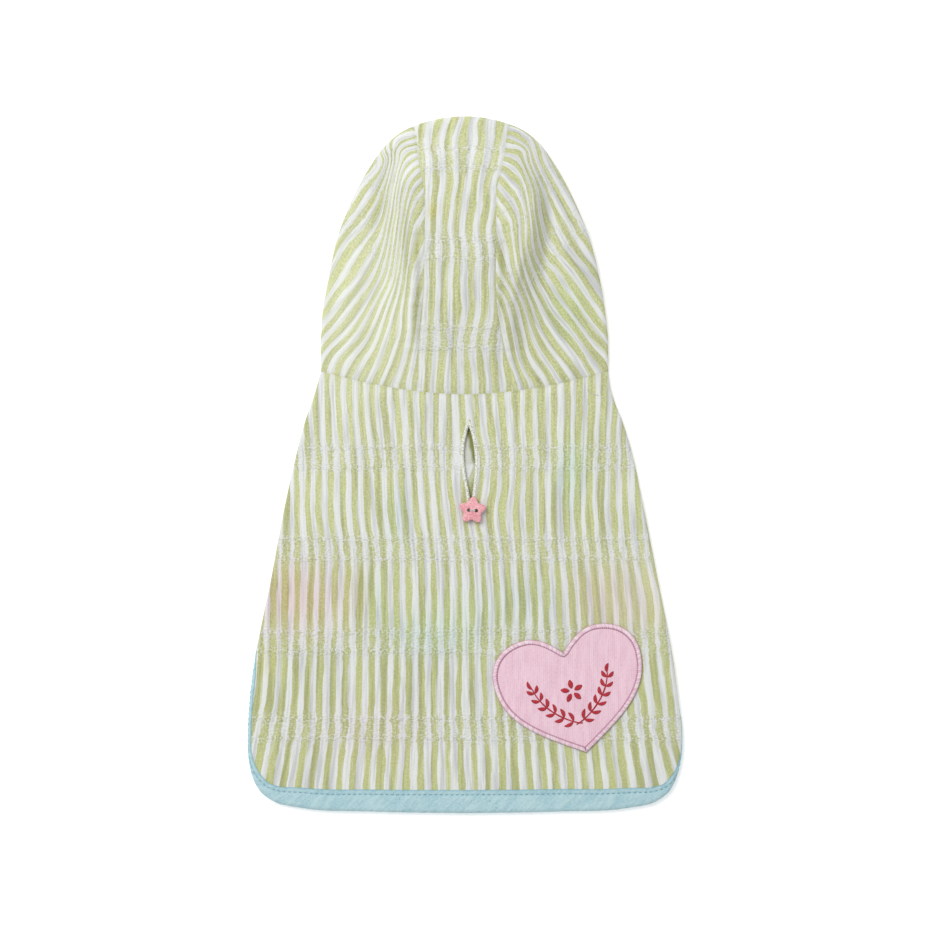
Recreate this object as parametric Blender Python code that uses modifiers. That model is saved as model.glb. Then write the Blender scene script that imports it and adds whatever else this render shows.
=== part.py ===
"""Hooded vest for a small dog, laid flat on its belly side with the back and the hood's crown up.

The top layer folds over both side edges and ends underneath at the side seams, where the belly
panel joins it. The hood is a centre strip and two sides, laid face down, so its face opening lies
underneath. +X is the garment's right-hand edge as laid, +Y points from the tail to the hood, +Z up.
Tables and sizes are in millimetres; meshes are in metres.
"""

import math
from collections import namedtuple

import bmesh
import bpy
import numpy as np

MM = 0.001
WALL = 1.1
TAPE_WALL = 1.2
SEAM_GAP = 0.3
LEFT, RIGHT = -1, 1

# Where the pieces meet
HOOD_TOP = 167.4
TAIL_END = -167.4
NECK_CORNER = 44.2
NECK_DIP = 33.4
NECK_HALF = 69.2
NECK_SAG_POWER = 1.8
BELLY_HEM = -62.0

# Half-widths of the laid garment, left and right of the middle line, from the neck down
Girth = namedtuple("Girth", "y left right")
BODY_GIRTHS = (
    Girth(44.2, 69.2, 68.8),
    Girth(36.5, 71.4, 69.8),
    Girth(30.7, 73.1, 71.5),
    Girth(21.1, 76.6, 75.3),
    Girth(1.9, 81.6, 81.0),
    Girth(-17.3, 85.9, 85.0),
    Girth(-55.7, 93.2, 92.6),
    Girth(-94.1, 100.8, 99.9),
    Girth(-113.3, 103.2, 102.4),
    Girth(-127.0, 104.0, 104.0),
    Girth(-142.1, 103.6, 103.4),
    Girth(-151.0, 101.5, 101.1),
    Girth(-157.2, 97.9, 97.7),
    Girth(-161.8, 91.5, 91.5),
    Girth(-164.9, 78.0, 78.0),
    Girth(-166.6, 45.0, 45.0),
)
HOOD_GIRTHS = (
    Girth(44.2, 69.2, 68.8),
    Girth(62.4, 69.1, 68.5),
    Girth(73.9, 68.2, 67.2),
    Girth(85.4, 66.2, 65.3),
    Girth(97.0, 64.0, 62.9),
    Girth(108.5, 61.3, 59.7),
    Girth(120.0, 57.1, 55.2),
    Girth(131.5, 51.8, 49.9),
    Girth(143.0, 45.4, 43.4),
    Girth(154.6, 36.3, 34.8),
    Girth(160.5, 28.8, 27.6),
    Girth(164.8, 18.0, 17.2),
)

# Outer radius of the fold along the outline, from the tail to the brow
Fold = namedtuple("Fold", "y radius")
EDGE_FOLDS = (
    Fold(-168, 1.7),
    Fold(-80, 1.7),
    Fold(0, 1.5),
    Fold(44, 1.5),
    Fold(70, 2.0),
    Fold(100, 2.6),
    Fold(130, 3.2),
    Fold(150, 4.2),
    Fold(167, 5.2),
)

# Height of the cloth clear of its edges, the hood's crown above that, and how the edge runs into it
Level = namedtuple("Level", "y cloth crown start span")
LEVELS = (
    Level(-168, 2.5, 0, 13.0, 20),
    Level(-150, 2.2, 0, 13.0, 20),
    Level(-120, 2.1, 0, 13.0, 20),
    Level(-100, 2.5, 0, 13.0, 20),
    Level(-78, 3.7, 0, 8.0, 20),
    Level(-50, 4.5, 0, 1.5, 22),
    Level(20, 4.7, 0, 1.5, 22),
    Level(36, 4.9, 0.6, 1.5, 20),
    Level(48, 5.3, 2.0, 1.6, 17),
    Level(65, 6.2, 6.0, 1.9, 15),
    Level(85, 7.2, 9.5, 2.3, 14),
    Level(110, 7.6, 11.0, 2.8, 14),
    Level(135, 7.9, 10.6, 3.4, 17),
    Level(152, 8.6, 8.6, 4.3, 22),
    Level(167, 10.5, 5.0, 5.2, 24),
)

# Where the crown drops to the hood's flat sides
Crease = namedtuple("Crease", "y left right slope")
CREASES = (
    Crease(34, 42, 40, 36),
    Crease(56, 37, 34, 28),
    Crease(84, 33.5, 31.5, 18),
    Crease(100, 35.0, 34.0, 12),
    Crease(113, 36.5, 36.0, 10),
    Crease(137, 35.5, 37.0, 9),
    Crease(155, 34.0, 34.0, 9),
)

# The largest soft folds: a curve from start by middle to end, and its height and half-width
Ripple = namedtuple("Ripple", "x0 y0 x1 y1 x2 y2 rise width")
RIPPLES = (
    Ripple(-37, 152, -40.5, 118, -35.5, 88, -1.3, 5.0),
    Ripple(38, 152, 41.5, 120, 33.5, 84, -1.3, 5.0),
    Ripple(-21, 96, -23, 76, -25.5, 54, 1.0, 4.5),
    Ripple(17.5, 96, 18.5, 76, 22, 54, 1.0, 4.5),
    Ripple(31, 86, 26.5, 71, 29.5, 54, -0.9, 4.5),
    Ripple(-24, 150, -33, 142, -35, 124, 0.9, 4.5),
    Ripple(20, 150, 30, 146, 35, 128, 0.9, 4.5),
    Ripple(-64, 70, -55, 88, -42, 106, 0.8, 6.0),
    Ripple(-60, 54, -48, 66, -36, 84, 0.7, 6.0),
    Ripple(63, 74, 55, 92, 43, 108, 0.8, 6.0),
    Ripple(60, 54, 50, 62, 38, 76, 0.7, 6.0),
    Ripple(-48, 34, -55, 5, -58, -40, 0.5, 8.0),
    Ripple(52, 32, 58, 0, 60, -45, 0.5, 8.0),
    Ripple(-20, 26, -24, -5, -22, -50, 0.4, 7.0),
    Ripple(26, 26, 26, -10, 30, -48, 0.4, 7.0),
    Ripple(-70, -90, -76, -120, -80, -148, 0.5, 8.0),
    Ripple(-25, -85, -30, -115, -34, -148, 0.4, 8.0),
)
NECK_GROOVE, NECK_GROOVE_WIDTH = 0.8, 3.0
STRIP_GROOVE, STRIP_GROOVE_WIDTH = 0.4, 2.0

# Seams of the hood's centre strip, and where they turn over the brow
STRIP_SEAMS = (
    Girth(44.2, 22.2, 21.2),
    Girth(61.0, 22.1, 17.4),
    Girth(80.0, 20.2, 15.0),
    Girth(108.5, 19.2, 14.9),
    Girth(132.0, 19.7, 15.3),
    Girth(146.5, 22.4, 18.6),
)
STRIP_NECK = Girth(35.0, 22.2, 22.6)
STRIP_BROW = Girth(162.0, 24.8, 21.5)
BROW_DEPTH = 9.0
LEVEL_SHARE = 0.25

# How far the hood's side lies under, by the share of the outline from the neck to the strip
Depth = namedtuple("Depth", "share depth")
FACE_DEPTHS = (
    Depth(0, 65.4),
    Depth(0.1, 50),
    Depth(0.22, 33),
    Depth(0.36, 20),
    Depth(0.55, 12.5),
    Depth(1, BROW_DEPTH),
)

# The bias tape's inner edge, by distance round the outline from the middle of the tail: how much
# cloth lies between it and the outline's outermost line. Below zero it has turned under.
TAPE_WIDTH = 11.3
TapeEdge = namedtuple("TapeEdge", "run left right")
TAPE_EDGES = (
    TapeEdge(0, 12.0, 12.0),
    TapeEdge(58, 11.2, 11.4),
    TapeEdge(78, 10.6, 10.6),
    TapeEdge(90, 9.2, 8.8),
    TapeEdge(98, 7.4, 6.6),
    TapeEdge(105, 5.8, 4.2),
    TapeEdge(112, 4.0, 2.4),
    TapeEdge(120, 2.7, 1.2),
    TapeEdge(132, 2.5, 0.2),
    TapeEdge(146, 2.5, -0.9),
    TapeEdge(158, 2.4, -1.8),
    TapeEdge(168, 1.0, -2.7),
    TapeEdge(180, -2.7, -2.7),
)
CORNER_RUN = 98.0
EDGE_SNAP = 0.6
FOLD_PARTING = 0.4
NEAR_EDGE = 0.35

# Underneath: where the side seams lie, and how the hem turns from the fold to the belly
Under = namedtuple("Under", "side seam_neck seam_hem turn_run hem_rows arch_rows")
UNDERSIDES = (Under(LEFT, 47, 73, 180, 10, 4), Under(RIGHT, 43, 69, 168, 10, 4))
SEAM_ROWS = 13
ARMHOLES = ((-57.0, 4.0), (55.0, 4.0))
ARMHOLE_HALF = (13.0, 24.0)
ARMHOLE_SIDES = 28
ARMHOLE_CUT = (-2.0, 1.5)

# Mesh steps across a panel
BACK_COLUMNS = 26
ARC_STEPS = 4
UNDER_STEPS = 3
STRIP_COLUMNS, STRIP_ROWS = 8, 26
HOOD_COLUMNS, HOOD_ROWS, HOOD_UNDER_STEPS = 12, 28, 4
TAPE_STEPS = (2, 4, 2)
BELLY_COLUMNS, BELLY_ROWS = 10, 6

# The leash slit: its rolled edging goes up one side and down the other
EDGING_RADIUS = 0.8
EDGING_SINK = 0.3
Slit = namedtuple("Slit", "y left right")
SLIT = (
    Slit(-17.5, 2.2, 4.2),
    Slit(-11.0, 1.3, 4.5),
    Slit(-4.0, -0.4, 4.9),
    Slit(3.8, -1.4, 5.1),
    Slit(9.0, -1.0, 4.7),
    Slit(14.5, 0.1, 3.6),
)
SLIT_TOP = (1.7, 20.3)
SLIT_STEPS = 45
SLIT_CUT = (1.7, 12.0)

BUTTON_AT = (3.6, -22.2)
BUTTON_RADIUS, BUTTON_DENT = 6.6, 0.19
BUTTON_THICKNESS, BUTTON_EDGE = 2.4, 0.5
BUTTON_TURN = math.radians(4)
BUTTON_HOLE_RADIUS, BUTTON_HOLE_SPREAD = 0.75, 3.45
BUTTON_CLEAR = 1.2

# Half of the heart from its cleft to its tip, each row a curve's end and its two handles
HeartArc = namedtuple("HeartArc", "hx0 hy0 hx1 hy1 x y")
HEART_ARCS = (
    HeartArc(3.5, 3.6, 9.7, 9.8, 16.9, 9.8),
    HeartArc(28.2, 9.8, 36.1, 2.8, 36.1, -7.7),
    HeartArc(36.1, -26.8, 21.6, -35.8, 0.0, -49.2),
)
HEART_CLEFT = (47.1, -90.4)
HEART_TILT = math.radians(13)
HEART_BORDER, HEART_BORDER_RISE = 2.4, 0.35
HEART_WALL = 1.0
HEART_MIDDLE = (0.0, -15.0)
HEART_STEPS = 9
HEART_RINGS = (0.02, 0.35, 0.68)
HEART_CREST = 0.75

# Colour, roughness
STRIPED_GREEN = (0.62, 0.66, 0.36), 0.85
BIAS_BLUE = (0.43, 0.74, 0.80), 0.7
EDGING_WHITE = (0.85, 0.86, 0.80), 0.8
BUTTON_PINK = (0.90, 0.34, 0.40), 0.35
HEART_PINK = (0.90, 0.55, 0.66), 0.75


def hermite(knots, values, at):
    """Values of the smooth curve through the knots."""
    knots, values, at = (np.asarray(part, float) for part in (knots, values, at))
    slopes = np.gradient(values, knots)
    k = np.clip(np.searchsorted(knots, at) - 1, 0, len(knots) - 2)
    span = knots[k + 1] - knots[k]
    t = np.clip((at - knots[k]) / span, 0, 1)
    start = (1 + 2 * t) * (1 - t) ** 2 * values[k] + t * (1 - t) ** 2 * span * slopes[k]
    end = t * t * (3 - 2 * t) * values[k + 1] + t * t * (t - 1) * span * slopes[k + 1]
    return start + end


def read(table, column, at):
    """A table's column, smooth between its rows, which run by the first column."""
    return hermite([row[0] for row in table], [getattr(row, column) for row in table], at)


def ramp(t):
    """0 up to t = 0, 1 from t = 1, smooth between."""
    t = np.clip(t, 0, 1)
    return t * t * (3 - 2 * t)


def halves(row, side):
    return side * (row.left if side == LEFT else row.right)


class Trim:
    """A smooth plan curve through a few points, read by running length from its first point."""

    STEP = 0.5

    def __init__(self, points, side):
        points = np.array(points, float)
        knots = np.concatenate([[0], np.cumsum(np.hypot(*np.diff(points, axis=0).T))])
        fine = np.linspace(0, knots[-1], int(knots[-1] / self.STEP) + 1)
        self.points = np.column_stack([hermite(knots, points[:, k], fine) for k in (0, 1)])
        self.runs = np.concatenate([[0], np.cumsum(np.hypot(*np.diff(self.points, axis=0).T))])
        self.length = self.runs[-1]
        self.side = side

    def at(self, run):
        return np.array([np.interp(run, self.runs, self.points[:, k]) for k in (0, 1)])

    def outward(self, run):
        """Unit vector away from the garment."""
        along = self.at(np.minimum(run + 1, self.length)) - self.at(np.maximum(run - 1, 0))
        along = along / np.hypot(*along)
        return self.side * np.array([along[1], -along[0]])

    def run_at_y(self, y):
        return float(np.interp(y, self.points[:, 1], self.runs))


def body_edge(side):
    """The outline from the middle of the tail, round the corner and up one side to the neck."""
    rows = [(halves(row, side), row.y) for row in reversed(BODY_GIRTHS)]
    return Trim([(0, TAIL_END), *rows], side)


def hood_edge(side):
    """The outline from the neck up one side to the middle of the brow."""
    rows = [(halves(row, side), row.y) for row in HOOD_GIRTHS]
    return Trim([*rows, (0, HOOD_TOP)], side)


BODY_EDGES = {side: body_edge(side) for side in (LEFT, RIGHT)}
HOOD_EDGES = {side: hood_edge(side) for side in (LEFT, RIGHT)}
OUTLINE = np.vstack([edge.points for edges in (BODY_EDGES, HOOD_EDGES) for edge in edges.values()])


def fold_radius(y):
    return read(EDGE_FOLDS, "radius", y)


def neck_seam(x):
    """y of the seam between the hood and the back."""
    return NECK_DIP + (NECK_CORNER - NECK_DIP) * np.abs(np.asarray(x) / NECK_HALF) ** NECK_SAG_POWER


def strip_seam(side):
    """The seam between the hood's centre strip and one side, from the neck to the brow's fold."""
    edge = HOOD_EDGES[side]
    run = brow_run(side)
    brow = edge.at(run) - edge.outward(run) * fold_radius(STRIP_BROW.y)
    rows = [(halves(row, side), row.y) for row in (STRIP_NECK, *STRIP_SEAMS)]
    return Trim([*rows, tuple(brow)], side)


def brow_run(side):
    """Where the strip's seam crosses the outline at the brow."""
    edge = HOOD_EDGES[side]
    return float(np.interp(-abs(halves(STRIP_BROW, side)), -np.abs(edge.points[:, 0]), edge.runs))


def ripples(x, y):
    """The soft folds' share of the height."""
    total = np.zeros(np.shape(x))
    for fold in RIPPLES:
        t = np.linspace(0, 1, 25)
        path_x = (1 - t) ** 2 * fold.x0 + 2 * t * (1 - t) * fold.x1 + t * t * fold.x2
        path_y = (1 - t) ** 2 * fold.y0 + 2 * t * (1 - t) * fold.y1 + t * t * fold.y2
        apart = np.hypot(np.subtract.outer(x, path_x), np.subtract.outer(y, path_y))
        nearest = apart.argmin(axis=-1)
        fade = np.sin(np.pi * (0.04 + 0.92 * t[nearest])) ** 0.6
        total = total + fold.rise * fade * np.exp(-((apart.min(axis=-1) / fold.width) ** 2))
    return total


def top_height(x, y):
    """Height of the garment's upper face at a plan point inside the outline."""
    x, y = np.asarray(x, float), np.asarray(y, float)
    apart = np.hypot(np.subtract.outer(x, OUTLINE[:, 0]), np.subtract.outer(y, OUTLINE[:, 1]))
    inside = apart.min(axis=-1)
    edge_height = 2 * fold_radius(OUTLINE[apart.argmin(axis=-1), 1])
    slope = read(CREASES, "slope", y)
    shelf = ramp((x + read(CREASES, "left", y)) / slope + 0.5)
    shelf = shelf * ramp((read(CREASES, "right", y) - x) / slope + 0.5)
    cloth = read(LEVELS, "cloth", y) + read(LEVELS, "crown", y) * shelf
    share = ramp((inside - read(LEVELS, "start", y)) / read(LEVELS, "span", y))
    groove = NECK_GROOVE * np.exp(-(((y - neck_seam(x)) / NECK_GROOVE_WIDTH) ** 2))
    for side in (LEFT, RIGHT):
        seam = hermite([row.y for row in STRIP_SEAMS], [halves(row, side) for row in STRIP_SEAMS], y)
        above_neck = ramp((y - NECK_DIP) / 4)
        groove = groove + STRIP_GROOVE * above_neck * np.exp(-(((x - seam) / STRIP_GROOVE_WIDTH) ** 2))
    return edge_height + share * (cloth + ripples(x, y) - groove - edge_height)


def on_top(plan):
    """Plan points, as rows of x and y, raised to the upper face."""
    plan = np.asarray(plan, float)
    return np.concatenate([plan, top_height(plan[..., 0], plan[..., 1])[..., None]], axis=-1)


def round_edge(edge, run, reach):
    """The point of the cloth with reach mm of cloth between it and the outline's outermost line."""
    point, away = edge.at(run), edge.outward(run)
    radius = fold_radius(point[1])
    lap = math.pi * radius / 2 - reach
    turn = np.clip(lap / radius, 0, math.pi)
    inset = radius - radius * math.sin(turn) + max(-lap, 0) + max(lap - math.pi * radius, 0)
    x, y = point - away * inset
    return np.array([x, y, top_height(x, y) if lap < 0 else radius + radius * math.cos(turn)])


def quarter(y):
    """Cloth from the top of the edge's fold to its outermost line."""
    return math.pi * float(fold_radius(y)) / 2


def patch(low, high, left, right):
    """Plan points of a four-sided patch between its edges; low and high run from left to right."""
    s = np.linspace(0, 1, len(low))[None, :, None]
    t = np.linspace(0, 1, len(left))[:, None, None]
    low, high, left, right = (np.asarray(edge, float) for edge in (low, high, left, right))
    between = (1 - t) * low[None] + t * high[None] + (1 - s) * left[:, None] + s * right[:, None]
    corners = (1 - t) * ((1 - s) * low[0] + s * low[-1]) + t * ((1 - s) * high[0] + s * high[-1])
    return between - corners


def straight(start, end, steps):
    """Points from start to end, without the first."""
    start, end = np.asarray(start, float), np.asarray(end, float)
    return [start + (end - start) * k / steps for k in range(1, steps + 1)]


def material(name, finish):
    colour, roughness = finish
    made = bpy.data.materials.new(name)
    made.use_nodes = True
    shader = made.node_tree.nodes["Principled BSDF"]
    shader.inputs["Base Color"].default_value = (*colour, 1)
    shader.inputs["Roughness"].default_value = roughness
    shader.inputs["Metallic"].default_value = 0
    return made


def place(name, mesh, finish, collection):
    """A mesh as an object of its own, with its material."""
    made = bpy.data.objects.new(name, mesh)
    mesh.materials.append(material(name, finish))
    collection.objects.link(made)
    return made


def sheet(name, grid, finish, collection, wall=WALL):
    """A wall of cloth from rows of points on its outer face. Points that coincide become one."""
    shape = bmesh.new()
    corners = [[shape.verts.new(np.asarray(point) * MM) for point in row] for row in grid]
    for low, high in zip(corners, corners[1:]):
        for k in range(len(low) - 1):
            shape.faces.new((low[k], low[k + 1], high[k + 1], high[k]))
    bmesh.ops.remove_doubles(shape, verts=shape.verts, dist=0.02 * MM)
    mesh = bpy.data.meshes.new(name)
    shape.to_mesh(mesh)
    shape.free()
    mesh.shade_smooth()
    made = place(name, mesh, finish, collection)
    solid = made.modifiers.new("wall", "SOLIDIFY")
    solid.thickness = wall * MM
    solid.offset = -1
    solid.use_even_offset = True
    solid.use_quality_normals = True
    return made


def cut(target, cutter):
    hole = target.modifiers.new(cutter.name, "BOOLEAN")
    hole.operation = "DIFFERENCE"
    hole.object = cutter


def prism(name, outline, heights, collection):
    """An upright cutter with the outline's plan."""
    low, high = heights
    shape = bmesh.new()
    base = shape.faces.new([shape.verts.new((x * MM, y * MM, low * MM)) for x, y in outline])
    raised = bmesh.ops.extrude_face_region(shape, geom=[base])["geom"]
    upper = [item for item in raised if isinstance(item, bmesh.types.BMVert)]
    bmesh.ops.translate(shape, verts=upper, vec=(0, 0, (high - low) * MM))
    bmesh.ops.recalc_face_normals(shape, faces=shape.faces)
    mesh = bpy.data.meshes.new(name)
    shape.to_mesh(mesh)
    shape.free()
    made = bpy.data.objects.new(name, mesh)
    made.hide_render = True
    made.display_type = "WIRE"
    collection.objects.link(made)
    return made


def seam_x(under, y):
    """x of a side seam, which lies straight underneath."""
    share = (NECK_CORNER - y) / (NECK_CORNER - BELLY_HEM)
    return under.side * (under.seam_neck + (under.seam_hem - under.seam_neck) * share)


def fold_x(edge, y):
    """Where the side's fold comes down to the underside, as a distance from the middle."""
    return abs(edge.at(edge.run_at_y(y))[0]) - float(fold_radius(y))


def arch_at(under, share):
    """The hem underneath, from the side's fold (share 0) to the side seam (1)."""
    edge = BODY_EDGES[under.side]
    start_y = edge.at(under.turn_run)[1]
    angle = share * math.pi / 2
    y = start_y + (BELLY_HEM - start_y) * math.sin(angle)
    depth = (fold_x(edge, BELLY_HEM) - under.seam_hem) * (1 - math.cos(angle))
    return np.array([under.side * (fold_x(edge, y) - depth), y])


def arch(under, share, shift):
    """A point of that hem moved towards the fold by shift, and the direction it was moved in."""
    along = arch_at(under, share + 0.02) - arch_at(under, share - 0.02)
    away = under.side * np.array([along[1], -along[0]]) / np.hypot(*along)
    return arch_at(under, share) + away * shift, away


def side_rows(under):
    """The back panel's rows at one side, tail first: for each the points from the top face outwards."""
    edge = BODY_EDGES[under.side]
    rows = []
    for run in np.linspace(CORNER_RUN, under.turn_run, under.hem_rows + 1):
        full = quarter(edge.at(run)[1])
        reach = tape_reach(under.side, run) + half_gap(under.side, run)
        first, near = (reach, reach) if reach >= full else (full, reach + NEAR_EDGE)
        turned = [round_edge(edge, run, at) for at in (*np.linspace(first, near, ARC_STEPS), reach)]
        rows.append([*turned, *[turned[-1]] * UNDER_STEPS])
    hem_ends = [arch(under, k / under.arch_rows, SEAM_GAP / 2)[0] for k in range(1, under.arch_rows + 1)]
    seam_ys = np.linspace(BELLY_HEM, NECK_CORNER - SEAM_GAP / 2, SEAM_ROWS + 1)[1:]
    seam_ends = [np.array([seam_x(under, y) + under.side * SEAM_GAP / 2, y]) for y in seam_ys]
    for end in (*hem_ends, *seam_ends):
        run = edge.run_at_y(end[1])
        full = quarter(edge.at(run)[1])
        turned = [round_edge(edge, run, full - 2 * full * k / ARC_STEPS) for k in range(ARC_STEPS + 1)]
        rows.append([*turned, *straight(turned[-1], (*end, 0), UNDER_STEPS)])
    return rows


def tape_reach(side, run):
    """Cloth between the tape's inner edge and the outline's outermost line. Where the edge would
    lie just past the top of the fold, it lies at the top."""
    reach = float(read(TAPE_EDGES, "left" if side == LEFT else "right", run))
    top = quarter(BODY_EDGES[side].at(run)[1])
    return top if abs(reach - top) < EDGE_SNAP else reach


def half_gap(side, run):
    """Half the gap between the panel and the tape, wider where they part on the fold."""
    top = quarter(BODY_EDGES[side].at(run)[1])
    return FOLD_PARTING if abs(tape_reach(side, run)) < top else SEAM_GAP / 2


def tail_stations():
    """Distances from the middle of the tail, left corner to right corner, negative to the left."""
    return np.linspace(-CORNER_RUN, CORNER_RUN, BACK_COLUMNS + 1)


def tail_point(station, shift):
    """The tape's inner edge at the tail, moved by shift towards the panel."""
    side = LEFT if station < 0 else RIGHT
    return round_edge(BODY_EDGES[side], abs(station), tape_reach(side, abs(station)) + shift)


def build_back(collection):
    left, right = (side_rows(under) for under in UNDERSIDES)
    tail = [tail_point(station, SEAM_GAP / 2)[:2] for station in tail_stations()]
    left_edge = np.array([row[0][:2] for row in left])
    right_edge = np.array([row[0][:2] for row in right])
    neck_x = np.linspace(left_edge[-1][0], right_edge[-1][0], BACK_COLUMNS + 1)
    neck = np.column_stack([neck_x, neck_seam(neck_x) - SEAM_GAP / 2])
    share = np.linspace(0, 1, BACK_COLUMNS + 1)[:, None]
    neck = neck + (1 - share) * (left_edge[-1] - neck[0]) + share * (right_edge[-1] - neck[-1])
    middle = on_top(patch(tail, neck, left_edge, right_edge))
    grid = [
        [*reversed(turned_left), *top[1:-1], *turned_right]
        for turned_left, top, turned_right in zip(left, middle, right)
    ]
    return sheet("back_panel", grid, STRIPED_GREEN, collection)


def build_belly(collection):
    """The belly panel lies flat underneath, between the side seams."""
    ys = np.linspace(BELLY_HEM + SEAM_GAP / 2, NECK_CORNER - SEAM_GAP / 2, BELLY_ROWS + 1)
    left, right = UNDERSIDES
    grid = []
    for y in ys:
        start = np.array([seam_x(right, y) - SEAM_GAP / 2, y, 0])
        end = np.array([seam_x(left, y) + SEAM_GAP / 2, y, 0])
        grid.append([start, *straight(start, end, BELLY_COLUMNS)])
    return sheet("belly_panel", grid, STRIPED_GREEN, collection)


def build_strip(collection):
    """The hood's centre strip, from the neck over the brow to the face edge."""
    seams = {side: strip_seam(side) for side in (LEFT, RIGHT)}
    gap = SEAM_GAP / 2
    sides = {}
    for side, seam in seams.items():
        runs = np.linspace(0, seam.length, STRIP_ROWS + 1)
        sides[side] = (seam.at(runs) - side * np.array([[gap], [0]])).T
    brow_left, brow_right = brow_run(LEFT) + gap, brow_run(RIGHT) + gap
    left_length, right_length = HOOD_EDGES[LEFT].length, HOOD_EDGES[RIGHT].length
    stations = np.linspace(brow_left - left_length, right_length - brow_right, STRIP_COLUMNS + 1)
    columns = []
    for station in stations:
        side = LEFT if station < 0 else RIGHT
        edge = HOOD_EDGES[side]
        run = edge.length - abs(station)
        full = quarter(edge.at(run)[1])
        turned = [round_edge(edge, run, full - 2 * full * k / ARC_STEPS) for k in range(ARC_STEPS + 1)]
        end = round_edge(edge, run, -full - BROW_DEPTH)
        columns.append([*turned, *straight(turned[-1], end, 2)])
    brow = np.array([column[0][:2] for column in columns])
    sides[LEFT][-1], sides[RIGHT][-1] = brow[0], brow[-1]
    neck_x = np.linspace(sides[LEFT][0][0], sides[RIGHT][0][0], STRIP_COLUMNS + 1)
    neck = np.column_stack([neck_x, neck_seam(neck_x) + gap])
    sides[LEFT][0], sides[RIGHT][0] = neck[0], neck[-1]
    top = on_top(patch(neck, brow, sides[LEFT], sides[RIGHT]))
    over = np.array(columns).transpose(1, 0, 2)
    return sheet("hood_centre_panel", [*top[:-1], *over], STRIPED_GREEN, collection)


def build_hood_side(side, collection):
    """One side of the hood: neck seam to brow, and from the strip's seam over the edge to the face."""
    edge, seam = HOOD_EDGES[side], strip_seam(side)
    gap = SEAM_GAP / 2
    grid = []
    for row, run in enumerate(np.linspace(gap, brow_run(side) - gap, HOOD_ROWS + 1)):
        share = row / HOOD_ROWS
        full = quarter(edge.at(run)[1])
        turned = [round_edge(edge, run, full - 2 * full * k / ARC_STEPS) for k in range(ARC_STEPS + 1)]
        face = round_edge(edge, run, -full - float(read(FACE_DEPTHS, "depth", share)))
        face[1] += (turned[-1][1] - face[1]) * ramp(1 - share / LEVEL_SHARE)
        start = seam.at(seam.length * share) + side * np.array([gap, 0])
        start = start + ramp(share * HOOD_ROWS - HOOD_ROWS + 1) * (turned[0][:2] - start)
        across = np.array([start, *straight(start, turned[0][:2], HOOD_COLUMNS)])
        sag = neck_seam(across[:, 0]) + gap - across[:, 1]
        sag = sag - np.linspace(sag[0] * (row > 0), sag[-1], HOOD_COLUMNS + 1)
        across[:, 1] += sag * (1 - share) ** 4
        points = [*on_top(across)[:-1], *turned, *straight(turned[-1], face, HOOD_UNDER_STEPS)]
        grid.append(points[:: side])
    name = "hood_side_left" if side == LEFT else "hood_side_right"
    return sheet(name, grid, STRIPED_GREEN, collection)


def tape_section(edge, run, inner):
    """Across the tape where it turns over the outline: top, fold and underneath."""
    full = quarter(edge.at(run)[1])
    outer = min(inner, full) - TAPE_WIDTH
    top, fold, under = TAPE_STEPS
    turned = [
        *np.linspace(inner, full, top + 1),
        *np.linspace(full, -full, fold + 1)[1:],
        *np.linspace(-full, outer, under + 1)[1:],
    ]
    near = inner - NEAR_EDGE
    low = min(-full, near - 1)
    past = [inner, *np.linspace(near, low, top + fold), *np.linspace(low, outer, under + 1)[1:]]
    share = ramp((inner - full) / 3)
    return [round_edge(edge, run, share * a + (1 - share) * b) for a, b in zip(turned, past)]


def flat_section(inner, towards):
    """Across the tape where it lies underneath."""
    start = np.array([*inner, 0])
    end = start + TAPE_WIDTH * np.array([*towards, 0])
    return [start, *straight(start, end, sum(TAPE_STEPS))]


def build_tape(collection):
    """The bias tape, one ring round the rear opening: tail, left side, belly, right side."""
    gap = SEAM_GAP / 2
    halfway = {}
    for under in UNDERSIDES:
        edge = BODY_EDGES[under.side]
        tail_runs = [abs(s) for s in tail_stations() if s * under.side > 0]
        side_runs = np.linspace(CORNER_RUN, under.turn_run, under.hem_rows + 1)[1:]
        runs = [*sorted(tail_runs), *side_runs]
        inner = [tape_reach(under.side, run) - half_gap(under.side, run) for run in runs]
        sections = [tape_section(edge, run, reach) for run, reach in zip(runs, inner)]
        for k in range(1, under.arch_rows + 1):
            at, away = arch(under, k / under.arch_rows, -gap)
            sections.append(flat_section(at, -away))
        halfway[under.side] = sections
    belly_x = np.linspace(halfway[LEFT][-1][0][0], halfway[RIGHT][-1][0][0], BELLY_COLUMNS + 1)[1:-1]
    belly = [flat_section((x, BELLY_HEM - gap), (0, -1)) for x in belly_x]
    middle = tape_section(BODY_EDGES[LEFT], 0, TAPE_EDGES[0].left - gap)
    ring = [middle, *halfway[LEFT], *belly, *reversed(halfway[RIGHT]), middle]
    return sheet("hem_binding", ring[::-1], BIAS_BLUE, collection, TAPE_WALL)


def slit_path():
    """The middle of the slit's edging in plan, up the left and down the right."""
    left = [(row.left, row.y) for row in SLIT]
    right = [(row.right, row.y) for row in reversed(SLIT)]
    return Trim([*left, SLIT_TOP, *right], LEFT)


def slit_outline():
    """The cut in the cloth, a seam's gap outside the edging."""
    path, grow = slit_path(), EDGING_RADIUS + SEAM_GAP
    runs = np.linspace(0, path.length, SLIT_STEPS)
    around = [path.at(run) + path.outward(run) * grow for run in runs]
    return [around[0] - (0, grow), *around, around[-1] - (0, grow)]


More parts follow.
